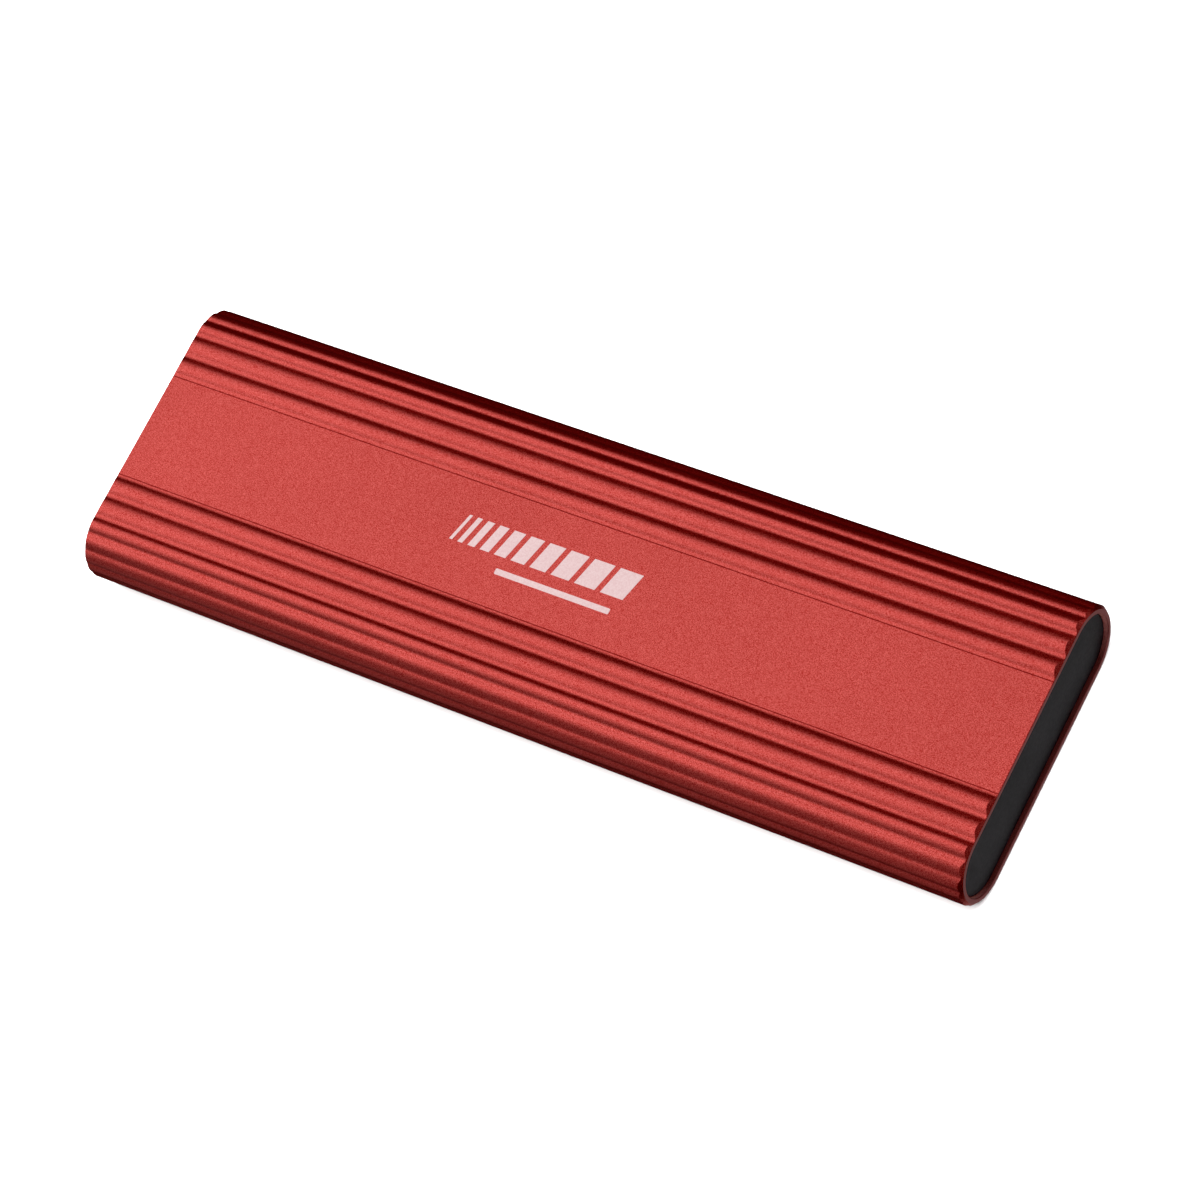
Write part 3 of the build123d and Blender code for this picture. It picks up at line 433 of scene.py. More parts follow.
class Builder:
    """Collects boxes, prisms and revolved shapes of one piece in millimetres."""

    def __init__(self):
        self.v, self.f, self.mi = [], [], []

    def add(self, verts, faces, mi=0):
        n = len(self.v)
        self.v += [tuple(p) for p in verts]
        self.f += [tuple(i + n for i in f) for f in faces]
        self.mi += [mi] * len(faces)

    def prism(self, outline, z0, z1, mi=0, inset_top=0.0, plane="z", mi_top=None):
        """Closed prism over a counter-clockwise outline; inset_top narrows its far end towards its middle."""
        n = len(outline)
        cx = sum(p[0] for p in outline) / n
        cy = sum(p[1] for p in outline) / n

        def put(p, h, inset):
            x, y = p
            if inset:
                dx, dy = x - cx, y - cy
                x -= math.copysign(min(inset, abs(dx)), dx) if abs(dx) > 1e-9 else 0
                y -= math.copysign(min(inset, abs(dy)), dy) if abs(dy) > 1e-9 else 0
            return {"z": (x, y, h), "x": (h, x, y), "y": (x, h, y)}[plane]

        v = [put(p, z0, 0) for p in outline] + [put(p, z1, inset_top) for p in outline]
        side = [(i, (i + 1) % n, n + (i + 1) % n, n + i) for i in range(n)]
        self.add(v, side + [tuple(range(n))[::-1]], mi)
        self.f.append(tuple(len(self.v) - 2 * n + n + i for i in range(n)))
        self.mi.append(mi if mi_top is None else mi_top)

    def box(self, lo, hi, mi=0, mi_top=None, inset_top=0.0):
        self.prism(
            [(lo[0], lo[1]), (hi[0], lo[1]), (hi[0], hi[1]), (lo[0], hi[1])],
            lo[2], hi[2], mi, inset_top, "z", mi_top,
        )

    def loft(self, outline, levels, mi=0):
        """Closed upright body through the same outline at each (height, inset)."""
        n = len(outline)
        cx = sum(p[0] for p in outline) / n
        cy = sum(p[1] for p in outline) / n
        v = []
        for z, inset in levels:
            for x, y in outline:
                dx, dy = x - cx, y - cy
                v.append((x - math.copysign(min(inset, abs(dx)), dx), y - math.copysign(min(inset, abs(dy)), dy), z))
        f = [tuple(range(n))[::-1], tuple((len(levels) - 1) * n + i for i in range(n))]
        for k in range(len(levels) - 1):
            f += [(k * n + i, k * n + (i + 1) % n, (k + 1) * n + (i + 1) % n, (k + 1) * n + i) for i in range(n)]
        self.add(v, f, mi)

    def lathe(self, centre, profile, segs=24, mi=0, axis="z"):
        """Revolves (radius, height) pairs about an upright line through the centre."""
        cx, cy, cz = centre
        v, f = [], []
        for r, h in profile:
            for i in range(segs):
                a = 2 * math.pi * i / segs
                if axis == "z":
                    v.append((cx + r * math.cos(a), cy + r * math.sin(a), cz + h))
                else:
                    v.append((cx + h, cy + r * math.cos(a), cz + r * math.sin(a)))
        for k in range(len(profile) - 1):
            for i in range(segs):
                j = (i + 1) % segs
                f.append((k * segs + i, k * segs + j, (k + 1) * segs + j, (k + 1) * segs + i))
        f.append(tuple(range(segs))[::-1])
        f.append(tuple((len(profile) - 1) * segs + i for i in range(segs)))
        self.add(v, f, mi)

    def make(self, name, mats, angle=28.0, edge=None, segs=2):
        o = new_object(name, self.v, self.f, mats, self.mi)
        outward(o)
        if edge:
            bevel(o, edge, segs)
        shade(o, angle)
        return o


def rounded(x0, y0, x1, y1, r, n=5):
    """Counter-clockwise outline of a rectangle with round corners."""
    pts = []
    for cx, cy, a0 in ((x1 - r, y1 - r, 0), (x0 + r, y1 - r, 90), (x0 + r, y0 + r, 180), (x1 - r, y0 + r, 270)):
        for i in range(n + 1):
            a = math.radians(a0 + 90 * i / n)
            pts.append((cx + r * math.cos(a), cy + r * math.sin(a)))
    return pts


def put(o, body, slot, *nodes):
    """The piece rides on a body and stands for CAD nodes, which it hides; the slot is not used."""
    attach(o, body)
    if nodes:
        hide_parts(*nodes)
    return o


# ---------------------------------------------------------------------------
# sleeve: ribs as true arcs with eased valleys, rib ends cut by the chamfer
# ---------------------------------------------------------------------------


def base_point(s):
    """Point and outward direction on the base section at distance s from the top centre, upper right quarter."""
    if s <= HALF_FLAT:
        return (s, BASE_R), (0.0, 1.0)
    a = (s - HALF_FLAT) / BASE_R
    return (HALF_FLAT + BASE_R * math.sin(a), BASE_R * math.cos(a)), (math.sin(a), math.cos(a))


def along(s, d):
    """Point at distance s along the base section from its top centre, d outside it."""
    p, n = base_point(s)
    return (p[0] + n[0] * d, p[1] + n[1] * d)


def sweep(cx, cy, p, q, n):
    """Points from p towards q on the arc round a centre, the short way, without q."""
    a0 = math.atan2(p[1] - cy, p[0] - cx)
    a1 = math.atan2(q[1] - cy, q[0] - cx)
    while a1 - a0 > math.pi:
        a1 -= 2 * math.pi
    while a0 - a1 > math.pi:
        a1 += 2 * math.pi
    r = math.hypot(p[0] - cx, p[1] - cy)
    return [(cx + r * math.cos(a0 + (a1 - a0) * i / n), cy + r * math.sin(a0 + (a1 - a0) * i / n)) for i in range(n)]


def rib_points():
    """Ribs from the flat band to the edge: round crests that touch the hollow arcs of the valleys."""
    hollows = []
    for s, h, r in VALLEYS:
        hollows.append((along(s, h), along(s, h + r), r))
    crests = []
    for k in range(len(VALLEYS) - 1):
        lo, hi = VALLEYS[k][0], VALLEYS[k + 1][0]
        for step in range(60):
            t = (lo + hi) / 2
            ax, ay = along(t, RIB_H)
            _, (nx, ny) = base_point(t)
            radii = []
            for _, (cx, cy), r in hollows[k:k + 2]:
                d2 = (ax - cx) ** 2 + (ay - cy) ** 2
                radii.append((d2 - r * r) / (2 * (r + nx * (ax - cx) + ny * (ay - cy))))
            if radii[0] < radii[1]:
                lo = t
            else:
                hi = t
        rc = (radii[0] + radii[1]) / 2
        crests.append(((ax - nx * rc, ay - ny * rc), rc))

    def touch(hollow, crest):
        (cx, cy), r = hollow[1], hollow[2]
        (ox, oy), rc = crest
        return (cx + (ox - cx) * r / (r + rc), cy + (oy - cy) * r / (r + rc))

    pts = []
    start = hollows[0][0]
    for k, crest in enumerate(crests):
        p, q = touch(hollows[k], crest), touch(hollows[k + 1], crest)
        pts += sweep(*hollows[k][1], start, p, 5 if k == 0 else 9)
        pts += sweep(*crest[0], p, q, 14)
        start = q
    pts += sweep(*hollows[-1][1], start, hollows[-1][0], 5)
    return pts


def height_over_base(y, z):
    """Distance of a point outside the base section, its foot there and the base section's direction."""
    if y <= HALF_FLAT:
        return z - BASE_R, (y, BASE_R), (0.0, 1.0)
    dy, dz = y - HALF_FLAT, z
    r = math.hypot(dy, dz)
    n = (dy / r, dz / r)
    return r - BASE_R, (HALF_FLAT + n[0] * BASE_R, n[1] * BASE_R), n


quarter = [(0.0, BASE_R), (1.9, BASE_R), (3.8, BASE_R), (HAIR_Y - HAIR_W / 2 - 0.05, BASE_R),
           (HAIR_Y - HAIR_W / 2, BASE_R), (HAIR_Y - 0.012, BASE_R - HAIR_D), (HAIR_Y + 0.012, BASE_R - HAIR_D),
           (HAIR_Y + HAIR_W / 2, BASE_R)]
quarter += rib_points()
quarter.append(along(*VALLEYS[-1][:2]))

loop = []  # (point on the base section, direction, height) round the whole section
for y, z in quarter[:-1]:
    h, p, n = height_over_base(y, z)
    loop.append((p, n, h))
right_upper = list(loop)
h, p, n = height_over_base(*quarter[-1])
equator = (p, n, h)
ring = right_upper + [equator]
ring += [((p[0], -p[1]), (n[0], -n[1]), h) for p, n, h in reversed(right_upper[1:])]
ring += [((0.0, -BASE_R), (0.0, -1.0), 0.0)]
left = [((-p[0], p[1]), (-n[0], n[1]), h) for p, n, h in reversed(ring[1:-1])]
ring += left
NR = len(ring)

EB = 0.05  # eased edge of the rim


def row(x_of, d_of):
    out = []
    for p, n, h in ring:
        d = d_of(h)
        out.append((x_of(h), p[0] + n[0] * d, MID_Z + p[1] + n[1] * d))
    return out


rows, row_mat = [], []


def add_row(x_of, d_of, mat_after):
    rows.append(row(x_of, d_of))
    row_mat.append(mat_after)


def cut(h, length):
    return length * (max(h, -0.03) + EB) / (CHAMFER_RADIAL + EB)


add_row(lambda h: END_X, lambda h: -EB, 0)
add_row(lambda h: END_X - cut(h, REAR_CHAMFER), lambda h: h, 0)
for k in range(1, 10):
    add_row(lambda h, k=k: END_X - 1.0 - (2 * END_X - 2.0) * (k - 1) / 8, lambda h: h, 0)
add_row(lambda h: -END_X + cut(h, FRONT_CHAMFER), lambda h: h, 0)
add_row(lambda h: -END_X, lambda h: -EB, 1)
add_row(lambda h: -END_X, lambda h: POCKET_D + 0.04, 1)
add_row(lambda h: -END_X + 0.04, lambda h: POCKET_D, 2)
add_row(lambda h: -END_X + POCKET_DEPTH, lambda h: POCKET_D, 2)
add_row(lambda h: -END_X + POCKET_DEPTH, lambda h: CAVITY_D, 2)
add_row(lambda h: 0.0, lambda h: CAVITY_D, 2)
add_row(lambda h: END_X - POCKET_DEPTH, lambda h: CAVITY_D, 2)
add_row(lambda h: END_X - POCKET_DEPTH, lambda h: POCKET_D, 2)
add_row(lambda h: END_X - 0.04, lambda h: POCKET_D, 1)
add_row(lambda h: END_X, lambda h: POCKET_D + 0.04, 1)

verts = [p for r in rows for p in r]
faces, index = [], []
for k in range(len(rows)):
    k2 = (k + 1) % len(rows)
    for i in range(NR):
        j = (i + 1) % NR
        faces.append((k * NR + i, k * NR + j, k2 * NR + j, k2 * NR + i))
        # the faces of the hairline groove take the darker red of the painted shade
        groove = row_mat[k] == 0 and min(ring[i][2], ring[j][2]) < -0.01
        index.append(3 if groove else row_mat[k])
sleeve = new_object("sleeve_shell", verts, faces, [mat_sleeve, mat_rim, mat_bore, mat_groove_painted_shade], index)
outward(sleeve)
shade(sleeve, 24)
put(sleeve, "case", "anodised_sleeve", "sleeve")

# ---------------------------------------------------------------------------
# printed mark on the flat band: plain slanted bars over a thin line
# ---------------------------------------------------------------------------
ink = Builder()
INK_Z = MID_Z + BASE_R
x = -12.6
widths = [0.35, 0.55, 0.8, 1.05, 1.3, 1.55, 1.8, 2.05, 2.3, 2.55]
slant = 0.85
for w in widths:
    ink.prism([(x, -0.55), (x + w, -0.55), (x + w + slant, 2.35), (x + slant, 2.35)], INK_Z + 0.0005, INK_Z + 0.006)
    x += w + 0.62
ink.prism(rounded(-6.4, -2.35, 6.6, -1.75, 0.12), INK_Z + 0.0005, INK_Z + 0.006)
mark = ink.make("printed_mark", [mat_ink])
put(mark, "case", "anodised_sleeve")

# ---------------------------------------------------------------------------
# caps, tray and light pipe
# ---------------------------------------------------------------------------
rear = copy_of("rear_cap", "rear_cap_moulding", [mat_cap], edge=None, angle=24)
put(rear, "rear_plug", "cap_plastic", "rear_cap")
front = copy_of("front_cap", "front_cap_moulding", [mat_cap], edge=None, angle=24)
put(front, "core", "cap_plastic", "front_cap")
tray = copy_of("carrier_tray", "tray_moulding", [mat_tray], angle=24)
put(tray, "core", "tray_plastic", "carrier_tray")
pipe = copy_of("light_pipe", "light_pipe_moulding", [mat_clear], angle=24)
put(pipe, "core", "clear_plastic", "light_pipe")

# ---------------------------------------------------------------------------
# board
# ---------------------------------------------------------------------------
BZ0, BZ1 = 3.9, 4.7
board = copy_of("main_board", "main_board_laminate", [mat_mask, mat_laminate], lambda c, n: 0 if abs(n.z) > 0.5 else 1, angle=24)
put(board, "core", "board_laminate", "main_board")

core_nodes = {
    "controller": islands_of("controller_ic"),
    "flash_top": islands_of("flash_packages_top"),
    "flash_bottom": islands_of("flash_packages_bottom"),
}

# ---------------------------------------------------------------------------
# packages: drafted moulded bodies standing on rows of solder balls
# ---------------------------------------------------------------------------


def package(name, boxes, up, slot, node, pitch=0.8, ball_r=0.2):
    pk, balls = Builder(), Builder()
    for lo, hi in boxes:
        x0, y0, x1, y1 = lo[0], lo[1], hi[0], hi[1]
        if up > 0:
            a, b = lo[2] + 0.20, hi[2]
        else:
            a, b = hi[2] - 0.20, lo[2]
        s = 1 if up > 0 else -1
        # substrate, then moulding with a drafted side
        pk.prism([(x0, y0), (x1, y0), (x1, y1), (x0, y1)], a, a + s * 0.26, 1)
        pk.prism([(x0 + 0.05, y0 + 0.05), (x1 - 0.05, y0 + 0.05), (x1 - 0.05, y1 - 0.05), (x0 + 0.05, y1 - 0.05)], a + s * 0.26, b, 0, inset_top=0.05)
        nx = int((x1 - x0 - 1.2) / pitch) + 1
        ny = int((y1 - y0 - 1.2) / pitch) + 1
        ox = (x0 + x1) / 2 - (nx - 1) * pitch / 2
        oy = (y0 + y1) / 2 - (ny - 1) * pitch / 2
        for i in range(nx):
            for j in range(ny):
                if min(i, nx - 1 - i, j, ny - 1 - j) < 2:
                    base = a - s * 0.20
                    prof = [(0.13, 0.0), (0.19, 0.05), (0.205, 0.10), (0.19, 0.15), (0.14, 0.20)]
                    balls.lathe((ox + i * pitch, oy + j * pitch, base), [(r, s * h) for r, h in prof], 10)
    o = pk.make(name, [mat_resin, mat_substrate], edge=0.035, segs=2)
    put(o, "core", slot, node)
    bo = balls.make(name + "_balls", [mat_solder], angle=60)
    put(bo, "core", slot)
    return o


mat_substrate = moulded("package_substrate", (0.020, 0.045, 0.026), 0.4, 3000, 0.15)
package("controller_package", core_nodes["controller"], 1, "package_resin", "controller_ic", 0.65)
package("flash_package_upper", core_nodes["flash_top"], 1, "package_resin", "flash_packages_top", 1.0)
package("flash_package_lower", core_nodes["flash_bottom"], -1, "package_resin", "flash_packages_bottom", 1.0)

# firmware memory: eight gull-wing leads
fw = copy_of("firmware_flash", "firmware_package", [mat_resin, mat_tin, mat_dimple],
             lambda c, n: 1 if (abs(c.y + 6.4) > 1.96 or c.z < BZ1 + 0.09) else (2 if (abs(c.x + 35.45) < 0.29 and abs(c.y + 7.6) < 0.29 and c.z > BZ1 + 1.3 and c.z < BZ1 + 1.44) else 0),
             edge=0.03)
put(fw, "core", "package_resin", "firmware_flash")
pm = copy_of("power_controller", "power_package", [mat_resin, mat_tin],
             lambda c, n: 1 if (abs(c.x + 33.2) > 2.005 or abs(c.y - 6.6) > 2.005) else 0, edge=0.025)
put(pm, "core", "package_resin", "power_controller")
ind = Builder()
for lo, hi in islands_of("power_inductors"):
    x0, y0, x1, y1 = lo[0], lo[1], hi[0], hi[1]
    ind.loft(rounded(x0 + 0.10, y0, x1 - 0.10, y1, 0.28), [(BZ1 + 0.06, 0.03), (BZ1 + 1.05, 0.0), (BZ1 + 1.20, 0.12)], 0)
    for a, b in ((x0, x0 + 0.55), (x1 - 0.55, x1)):
        ind.box((a, y0 + 0.2, BZ1), (b, y1 - 0.2, BZ1 + 0.52), 1)
put(ind.make("inductor_cores", [mat_ferrite, mat_tin], edge=0.04), "core", "ferrite", "power_inductors")
xt = copy_of("crystal", "crystal_package", [mat_can, mat_alumina], lambda c, n: 1 if c.z < BZ1 + 0.44 and abs(n.z) < 0.5 else 0, edge=0.04)
put(xt, "core", "crystal_can", "crystal")
led = copy_of("status_led", "led_package", [mat_led, mat_alumina, mat_tin],
              lambda c, n: 2 if (c.z < BZ1 + 0.31 and abs(c.y - 9.0) > 0.56) else (1 if c.z < BZ1 + 0.31 else 0), edge=0.03)
put(led, "core", "led_resin", "status_led")
esd = copy_of("esd_arrays", "esd_packages", [mat_resin, mat_tin],
              lambda c, n: 1 if (c.z < BZ1 + 0.15 and abs(c.x + 39.9) > 0.505) else 0, edge=0.02)
put(esd, "core", "package_resin", "esd_arrays")

# capacitors and resistors: body with wrapped ends and solder fillets
caps, ress, fillets = Builder(), Builder(), Builder()


def passive(b, lo, hi, body_h, end_mi, body_mi, top_mi=None, end=0.24, proud=0.012):
    cx, cy = (lo[0] + hi[0]) / 2, (lo[1] + hi[1]) / 2
    lx, ly = hi[0] - lo[0], hi[1] - lo[1]
    turned = ly > lx
    half, wide = (ly / 2, lx / 2) if turned else (lx / 2, ly / 2)
    up = 1 if lo[2] > BZ1 - 0.05 else -1
    z0 = lo[2] if up > 0 else hi[2]

    def P(u0, v0, u1, v1, a, c, mi, mt=None):
        if turned:
            q = [(cx + v0, cy + u0), (cx + v1, cy + u0), (cx + v1, cy + u1), (cx + v0, cy + u1)]
        else:
            q = [(cx + u0, cy + v0), (cx + u1, cy + v0), (cx + u1, cy + v1), (cx + u0, cy + v1)]
        b.prism(q, z0 + up * a, z0 + up * c, mi, 0, "z", mt)

    P(-half + end, -wide + proud, half - end, wide - proud, 0.012, body_h - proud, body_mi, top_mi)
    for s in (-1, 1):
        u0, u1 = sorted((s * half, s * (half - end)))
        P(u0, -wide, u1, wide, 0.0, body_h, end_mi)
        # solder fillet climbing the end
        e = s * half
        ring_pts = []
        for vv in (-wide * 0.92, wide * 0.92):
            ring_pts.append([(e, 0.0), (e + s * 0.16, 0.0), (e + s * 0.10, 0.035), (e + s * 0.045, 0.10), (e, 0.22)])
        n = 5
        vs = []
        for vv, prof in zip((-wide * 0.92, wide * 0.92), ring_pts):
            for u, h in prof:
                vs.append((cx + vv, cy + u, z0 + up * h) if turned else (cx + u, cy + vv, z0 + up * h))
        fs = [tuple(range(n)), tuple(range(n, 2 * n))[::-1]] + [(i, (i + 1) % n, n + (i + 1) % n, n + i) for i in range(n)]
        fillets.add(vs, fs, 0)


for lo, hi in islands_of("ceramic_capacitors"):
    passive(caps, lo, hi, hi[2] - lo[2], 1, 0)
put(caps.make("capacitor_bodies", [mat_ceramic, mat_tin], edge=0.03, segs=2), "core", "capacitor_ceramic", "ceramic_capacitors")
for lo, hi in islands_of("chip_resistors"):
    passive(ress, lo, hi, hi[2] - lo[2], 1, 0, 2, end=0.20, proud=0.015)
put(ress.make("resistor_bodies", [mat_alumina, mat_tin, mat_element], edge=0.02, segs=2), "core", "resistor_ceramic", "chip_resistors")
put(fillets.make("solder_fillets", [mat_solder], angle=50), "core", "crystal_can")

bulk, bands = Builder(), Builder()
for lo, hi in islands_of("bulk_capacitors"):
    x0, y0, x1, y1 = lo[0], lo[1], hi[0], hi[1]
    body = [(x0 + 0.15, y0), (x1 - 0.15, y0), (x1 - 0.15, y1), (x0 + 0.15, y1)]
    bulk.loft(body, [(BZ1 + 0.10, 0.06), (BZ1 + 0.95, 0.0), (BZ1 + 1.85, 0.12)], 0)
    # terminals folded down the ends and under the body
    for e, s in ((x0, 1), (x1, -1)):
        leg = [(e, 0.0), (e + s * 0.8, 0.0), (e + s * 0.8, 0.098), (e + s * 0.147, 0.098), (e + s * 0.147, 0.95), (e, 0.95)]
        bulk.prism([(px, BZ1 + pz) for px, pz in leg], y0 + 0.35, y1 - 0.35, 1, 0.0, "y")
    # polarity band
    bands.box((x0 + 0.42, y0 + 0.16, BZ1 + 1.848), (x0 + 0.80, y1 - 0.16, BZ1 + 1.856), 0)
put(bulk.make("bulk_capacitor_bodies", [mat_resin, mat_tin], edge=0.04), "core", "package_resin", "bulk_capacitors")
put(bands.make("capacitor_bands", [mat_silk]), "core", "package_resin")

# ---------------------------------------------------------------------------
# receptacle
# ---------------------------------------------------------------------------
sh = copy_of("usb_c_shell", "receptacle_shell", [mat_steel], edge=0.05, segs=2, angle=24)
put(sh, "core", "stamped_steel", "usb_c_shell")
ins = copy_of("usb_c_insulator", "receptacle_insulator", [mat_lcp], angle=24)
put(ins, "core", "connector_plastic", "usb_c_insulator")
mp = copy_of("usb_c_mid_plate", "receptacle_mid_plate", [mat_steel], edge=0.02, angle=24)
put(mp, "core", "stamped_steel", "usb_c_mid_plate")
ct = copy_of("usb_c_contacts", "receptacle_contacts", [mat_gold], edge=0.015, segs=1, angle=24)
put(ct, "core", "contact_gold", "usb_c_contacts")

# ---------------------------------------------------------------------------
# screws, spring, film and pads
# ---------------------------------------------------------------------------
sc = copy_of("board_screws", "board_screw_bodies", [mat_screw], edge=0.03, angle=24)
put(sc, "core", "screw_steel", "board_screws")
gs = copy_of("ground_spring", "ground_spring_finger", [mat_spring], edge=0.03, angle=40)
put(gs, "core", "spring_bronze", "ground_spring")
fl = copy_of("insulating_film", "insulating_film_sheet", [mat_film], angle=24)
put(fl, "core", "film_polyester", "insulating_film")


def soft_block(name, node, body="core"):
    """A gap pad: a closed block with soft edges and slightly uneven faces, inside its CAD box."""
    lo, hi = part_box(node)
    lo, hi = [c * 1000 for c in lo], [c * 1000 for c in hi]
    nx, ny, nz = 36, 28, 4
    verts, faces, ids = [], [], {}

    def vid(i, j, k):
        key = (i, j, k)
        if key not in ids:
            u, v, w = i / nx, j / ny, k / nz
            x = lo[0] + (hi[0] - lo[0]) * u
            y = lo[1] + (hi[1] - lo[1]) * v
            z = lo[2] + (hi[2] - lo[2]) * w
            # ease the long edges and pull the corners in
            ex = min(x - lo[0], hi[0] - x)
            ey = min(y - lo[1], hi[1] - y)
            ez = min(z - lo[2], hi[2] - z)
            r = 0.28
            if ex < 1e-6:
                k_ = max(0.0, 1 - ez / r)
                x += math.copysign(0.10 * k_ * k_, (lo[0] + hi[0]) / 2 - x)
                x += math.copysign(0.05 + 0.04 * math.sin(y * 1.9 + w * 2.0), (lo[0] + hi[0]) / 2 - x)
            if ey < 1e-6:
                k_ = max(0.0, 1 - ez / r)
                y += math.copysign(0.10 * k_ * k_, (lo[1] + hi[1]) / 2 - y)
                y += math.copysign(0.05 + 0.04 * math.sin(x * 1.7 + w * 2.0), (lo[1] + hi[1]) / 2 - y)
            if ez < 1e-6 and (ex > 1e-6 and ey > 1e-6):
                z += math.copysign(0.012 + 0.010 * math.sin(x * 0.9 + 1.3) * math.cos(y * 0.8), (lo[2] + hi[2]) / 2 - z)
            elif ez < 1e-6:
                z += math.copysign(0.07, (lo[2] + hi[2]) / 2 - z)
            ids[key] = len(verts)
            verts.append((x, y, z))
        return ids[key]

    for i in range(nx):
        for j in range(ny):
            faces.append((vid(i, j, 0), vid(i, j + 1, 0), vid(i + 1, j + 1, 0), vid(i + 1, j, 0)))
            faces.append((vid(i, j, nz), vid(i + 1, j, nz), vid(i + 1, j + 1, nz), vid(i, j + 1, nz)))
    for k in range(nz):
        for i in range(nx):
            faces.append((vid(i, 0, k), vid(i + 1, 0, k), vid(i + 1, 0, k + 1), vid(i, 0, k + 1)))
            faces.append((vid(i, ny, k), vid(i, ny, k + 1), vid(i + 1, ny, k + 1), vid(i + 1, ny, k)))
        for j in range(ny):
            faces.append((vid(0, j, k), vid(0, j, k + 1), vid(0, j + 1, k + 1), vid(0, j + 1, k)))
            faces.append((vid(nx, j, k), vid(nx, j + 1, k), vid(nx, j + 1, k + 1), vid(nx, j, k + 1)))
    o = new_object(name, verts, faces, [mat_silicone])
    outward(o)
    shade(o, 60)
    return o


for nm, nd in (("controller_gap_pad", "thermal_pad_controller"), ("flash_gap_pad", "thermal_pad_flash"), ("lower_gap_pad", "thermal_pad_lower")):
    put(soft_block(nm, nd), "core", "thermal_silicone", nd)

# ---------------------------------------------------------------------------
# board details: pads, vias and a plain silkscreen frame, all on the board
# ---------------------------------------------------------------------------
pads, silk = Builder(), Builder()


for i in range(12):
    y = (i - 5.5) * 0.5
    for z, t in ((BZ1, 0.02), (BZ0, -0.02)):
        fork = [(-42.3, -0.15), (-41.15, -0.15), (-41.15, 0.15), (-42.3, 0.15), (-42.3, 0.126), (-41.49, 0.126), (-41.49, -0.126), (-42.3, -0.126)]
        pads.prism([(px, y + py) for px, py in fork], min(z, z + t), max(z, z + t))
for x, y in [(-26.3, 10.6), (-24.6, 10.6), (-22.9, 10.6), (23.6, -9.6), (25.2, -9.6), (23.6, -11.0), (25.2, -11.0), (30.2, 7.4), (31.9, 7.4), (30.2, 5.7), (31.9, 5.7), (30.2, 4.0), (31.9, 4.0)]:
    pads.lathe((x, y, BZ1), [(0.5, 0.0), (0.5, 0.02), (0.47, 0.03)], 24)
for y in (-9.6, 9.6):
    # bare ring under each screw head
    segs = 40
    vs, fs = [], []
    for r, h in ((1.0, 0.0), (1.0, 0.02), (1.75, 0.02), (1.75, 0.0)):
        for i in range(segs):
            a = 2 * math.pi * i / segs
            vs.append((34.8 + r * math.cos(a), y + r * math.sin(a), BZ1 - 0.0 + h))
    for k in range(4):
        for i in range(segs):
            j = (i + 1) % segs
            k2 = (k + 1) % 4
            fs.append((k * segs + i, k * segs + j, k2 * segs + j, k2 * segs + i))
    # screw heads rest on the board, so the ring only shows outside them
    pads.add([(x, yy, z) if math.hypot(x - 34.8, yy - y) > 1.42 else (34.8 + (x - 34.8) * 1.43, y + (yy - y) * 1.43, z) for x, yy, z in vs], fs, 0)
put(pads.make("board_pads", [mat_gold], angle=30), "core", "contact_gold")


def frame_line(x0, y0, x1, y1, w=0.12):
    z, t = BZ1, 0.015
    v = []
    for h in (z, z + t):
        for q in (0.0, w):
            v += [(x0 + q, y0 + q, h), (x1 - q, y0 + q, h), (x1 - q, y1 - q, h), (x0 + q, y1 - q, h)]
    f = []
    for i in range(4):
        j = (i + 1) % 4
        f += [(i, 4 + i, 4 + j, j), (8 + i, 8 + j, 12 + j, 12 + i), (i, j, 8 + j, 8 + i), (4 + i, 12 + i, 12 + j, 4 + j)]
    silk.add(v, f)


frame_line(-25.0, -6.0, -13.0, 6.0)
frame_line(-6.35, -9.35, 6.3, 9.35)
frame_line(7.2, -9.35, 19.85, 9.35)
frame_line(-36.5, -9.9, -30.7, -2.9)
frame_line(24.0, 4.3, 28.0, 7.5)
frame_line(24.0, 0.0, 28.0, 3.2)
for x, y in ((-25.6, -6.6), (-6.9, -9.9), (-37.0, -10.3)):
    silk.prism([(x - 0.3, y - 0.3), (x + 0.3, y - 0.3), (x, y + 0.25)], BZ1, BZ1 + 0.015)
put(silk.make("board_legend", [mat_silk], angle=30), "core", "board_laminate")

# ---------------------------------------------------------------------------
# floor, lights and camera
# ---------------------------------------------------------------------------
mat_floor = Mat("floor", (0.90, 0.90, 0.90), 0.85)
mat_floor.color(mat_floor.ramp(mat_floor.noise(30, 2.0), [(0.3, (0.895, 0.895, 0.895)), (0.7, (0.905, 0.905, 0.905))]))
mat_floor.b.inputs["Specular IOR Level"].default_value = 0.0
floor = new_object("floor", [(-3000, -3000, 0), (3000, -3000, 0), (3000, 3000, 0), (-3000, 3000, 0)], [(0, 1, 2, 3)], [mat_floor])
floor.visible_glossy = False
floor.visible_shadow = False

world = bpy.data.worlds.new("studio")
scene.world = world
world.use_nodes = True
world.node_tree.nodes["Background"].inputs["Color"].default_value = (1.0, 1.0, 1.0, 1)
world.node_tree.nodes["Background"].inputs["Strength"].default_value = 0.025

TARGET = Vector((0, 0, 0.0043))


def card(name, direction, distance, size, size_y, radiance, only=None):
    """A softbox facing the drive, its local x along the drive, given by the brightness seen in a mirror."""
    d = Vector(direction).normalized()
    light = bpy.data.lights.new(name, "AREA")
    light.shape = "RECTANGLE"
    light.size, light.size_y = size, size_y
    light.energy = radiance * math.pi * size * size_y
    o = bpy.data.objects.new(name, light)
    scene.collection.objects.link(o)
    o.location = TARGET + d * distance
    x = (Vector((1, 0, 0)) - d * d.x).normalized()
    y = d.cross(x)
    o.rotation_euler = Matrix((x, y, d)).transposed().to_euler()
    if only is not None:
        o.light_linking.receiver_collection = only
    return o


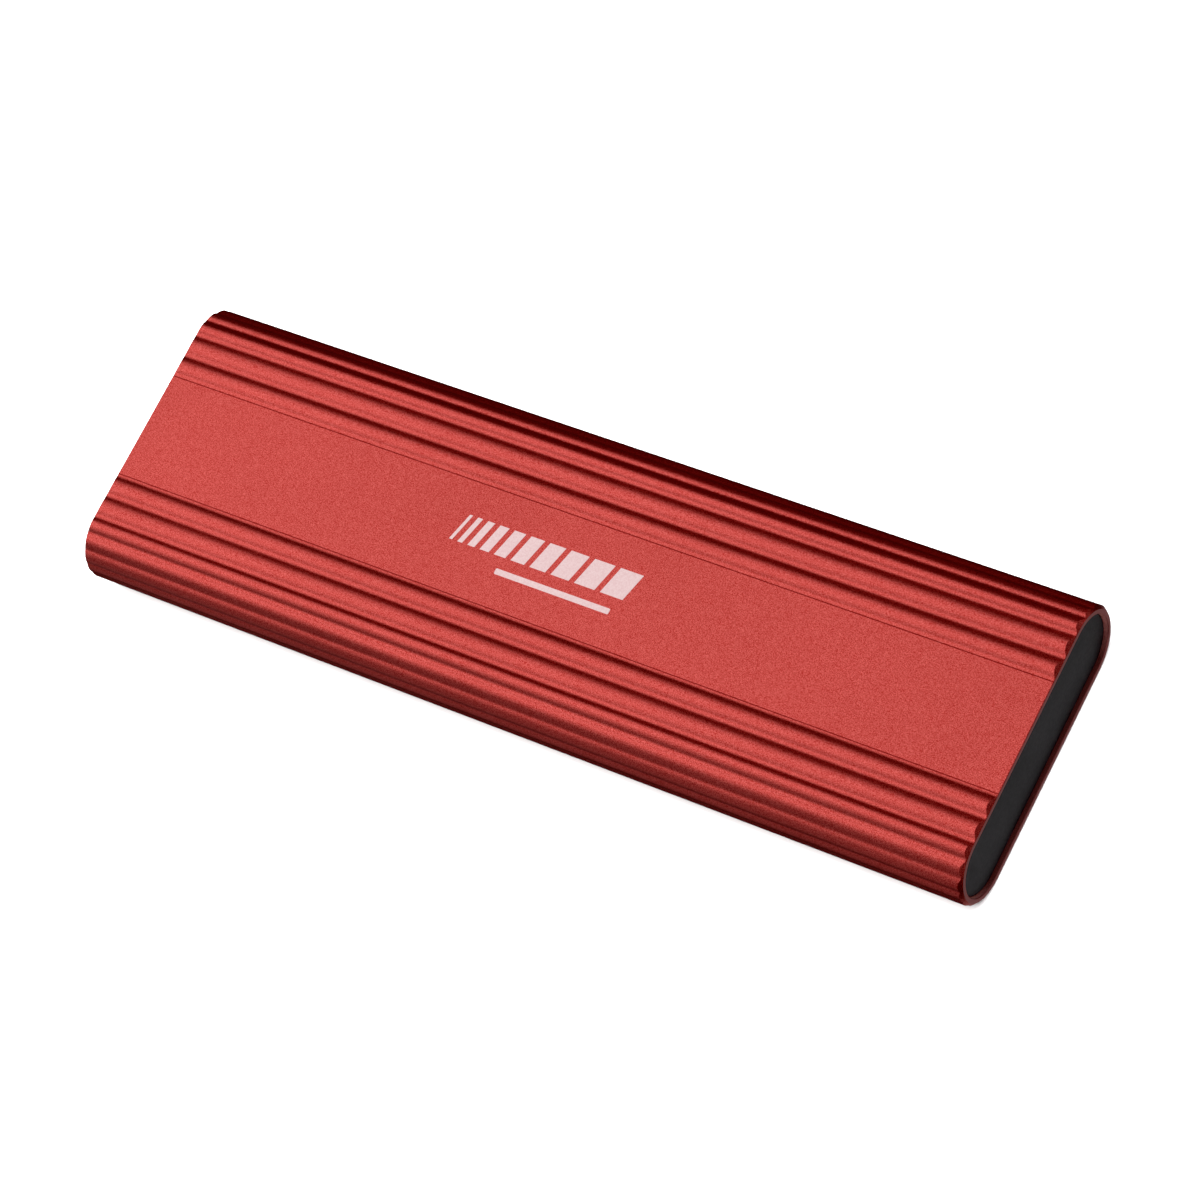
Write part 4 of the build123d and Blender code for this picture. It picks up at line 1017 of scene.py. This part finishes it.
def cone(phi):
    """Direction that a surface along the drive mirrors into the camera, phi degrees from straight up towards +Y."""
    a = math.radians(phi)
    return (-0.481, 0.877 * math.sin(a), 0.877 * math.cos(a))


card("key", cone(6.5), 0.8, 0.95, 0.80, 0.96)
card("crest_light", cone(-7), 0.76, 0.95, 0.38, 0.20)
card("low_key", cone(-39), 0.8, 0.95, 0.46, 0.60)
side = card("side_fill", cone(-100), 0.8, 0.95, 1.05, 0.205)
side.data.color = (1.0, 1.06, 1.10)
back = card("back_fill", cone(79), 0.8, 0.95, 1.25, 0.044)
back.data.color = (1.0, 0.04, 0.07)
# softboxes that only the other sides mirror, and one below the floor
card("rear_end", (1.0, -0.05, 0.16), 1.0, 0.30, 1.1, 0.60)
card("port_end", (-1.0, 0.0, 0.26), 1.0, 0.44, 1.4, 0.85)
card("far_side", (0.38, 1.0, 0.40), 1.0, 0.85, 0.46, 0.75)
card("near_side", (0.24, -1.0, 0.36), 1.0, 0.7, 0.45, 0.75)
card("near_high", (0.40, -0.68, 0.62), 1.0, 0.42, 0.50, 0.85)
card("far_high", (0.42, 0.66, 0.62), 1.0, 0.42, 0.46, 0.80)
card("below", (0.36, 0.12, -0.93), 0.9, 1.3, 1.3, 0.27)

only_floor = bpy.data.collections.new("floor_only")
only_floor.objects.link(floor)
card("floor_light", (0.1, 0.0, 1.0), 1.6, 1.6, 1.6, 11.0, only_floor)

cam = bpy.data.cameras.new("camera")
cam.sensor_width = 36.0
cam.sensor_fit = "HORIZONTAL"
cam.lens = 133.66556
cam.clip_start, cam.clip_end = 0.01, 20
camera = bpy.data.objects.new("camera", cam)
scene.collection.objects.link(camera)
right = (0.8254123278, 0.4503042809, -0.3404710614)
up = (-0.2954949681, 0.8585145927, 0.4190887949)
back = (0.4810168531, -0.2453135723, 0.8416911775)
camera.matrix_world = Matrix((
    (right[0], up[0], back[0], 0.2043296),
    (right[1], up[1], back[1], -0.1028461),
    (right[2], up[2], back[2], 0.3525171 + MID_Z * MM),
    (0, 0, 0, 1),
))
scene.camera = camera

scene.view_settings.view_transform = "Standard"
scene.view_settings.look = "None"
scene.view_settings.exposure = 0.0
scene.view_settings.gamma = 1.0
# a little more contrast in the deepest tones only
scene.view_settings.use_curve_mapping = True
tone = scene.view_settings.curve_mapping
curve = tone.curves[3]
for px, py in ((0.006, 0.0004), (0.012, 0.0028), (0.020, 0.0095), (0.032, 0.0215), (0.06, 0.0510), (0.12, 0.1150), (0.25, 0.25)):
    curve.points.new(px, py)
tone.update()
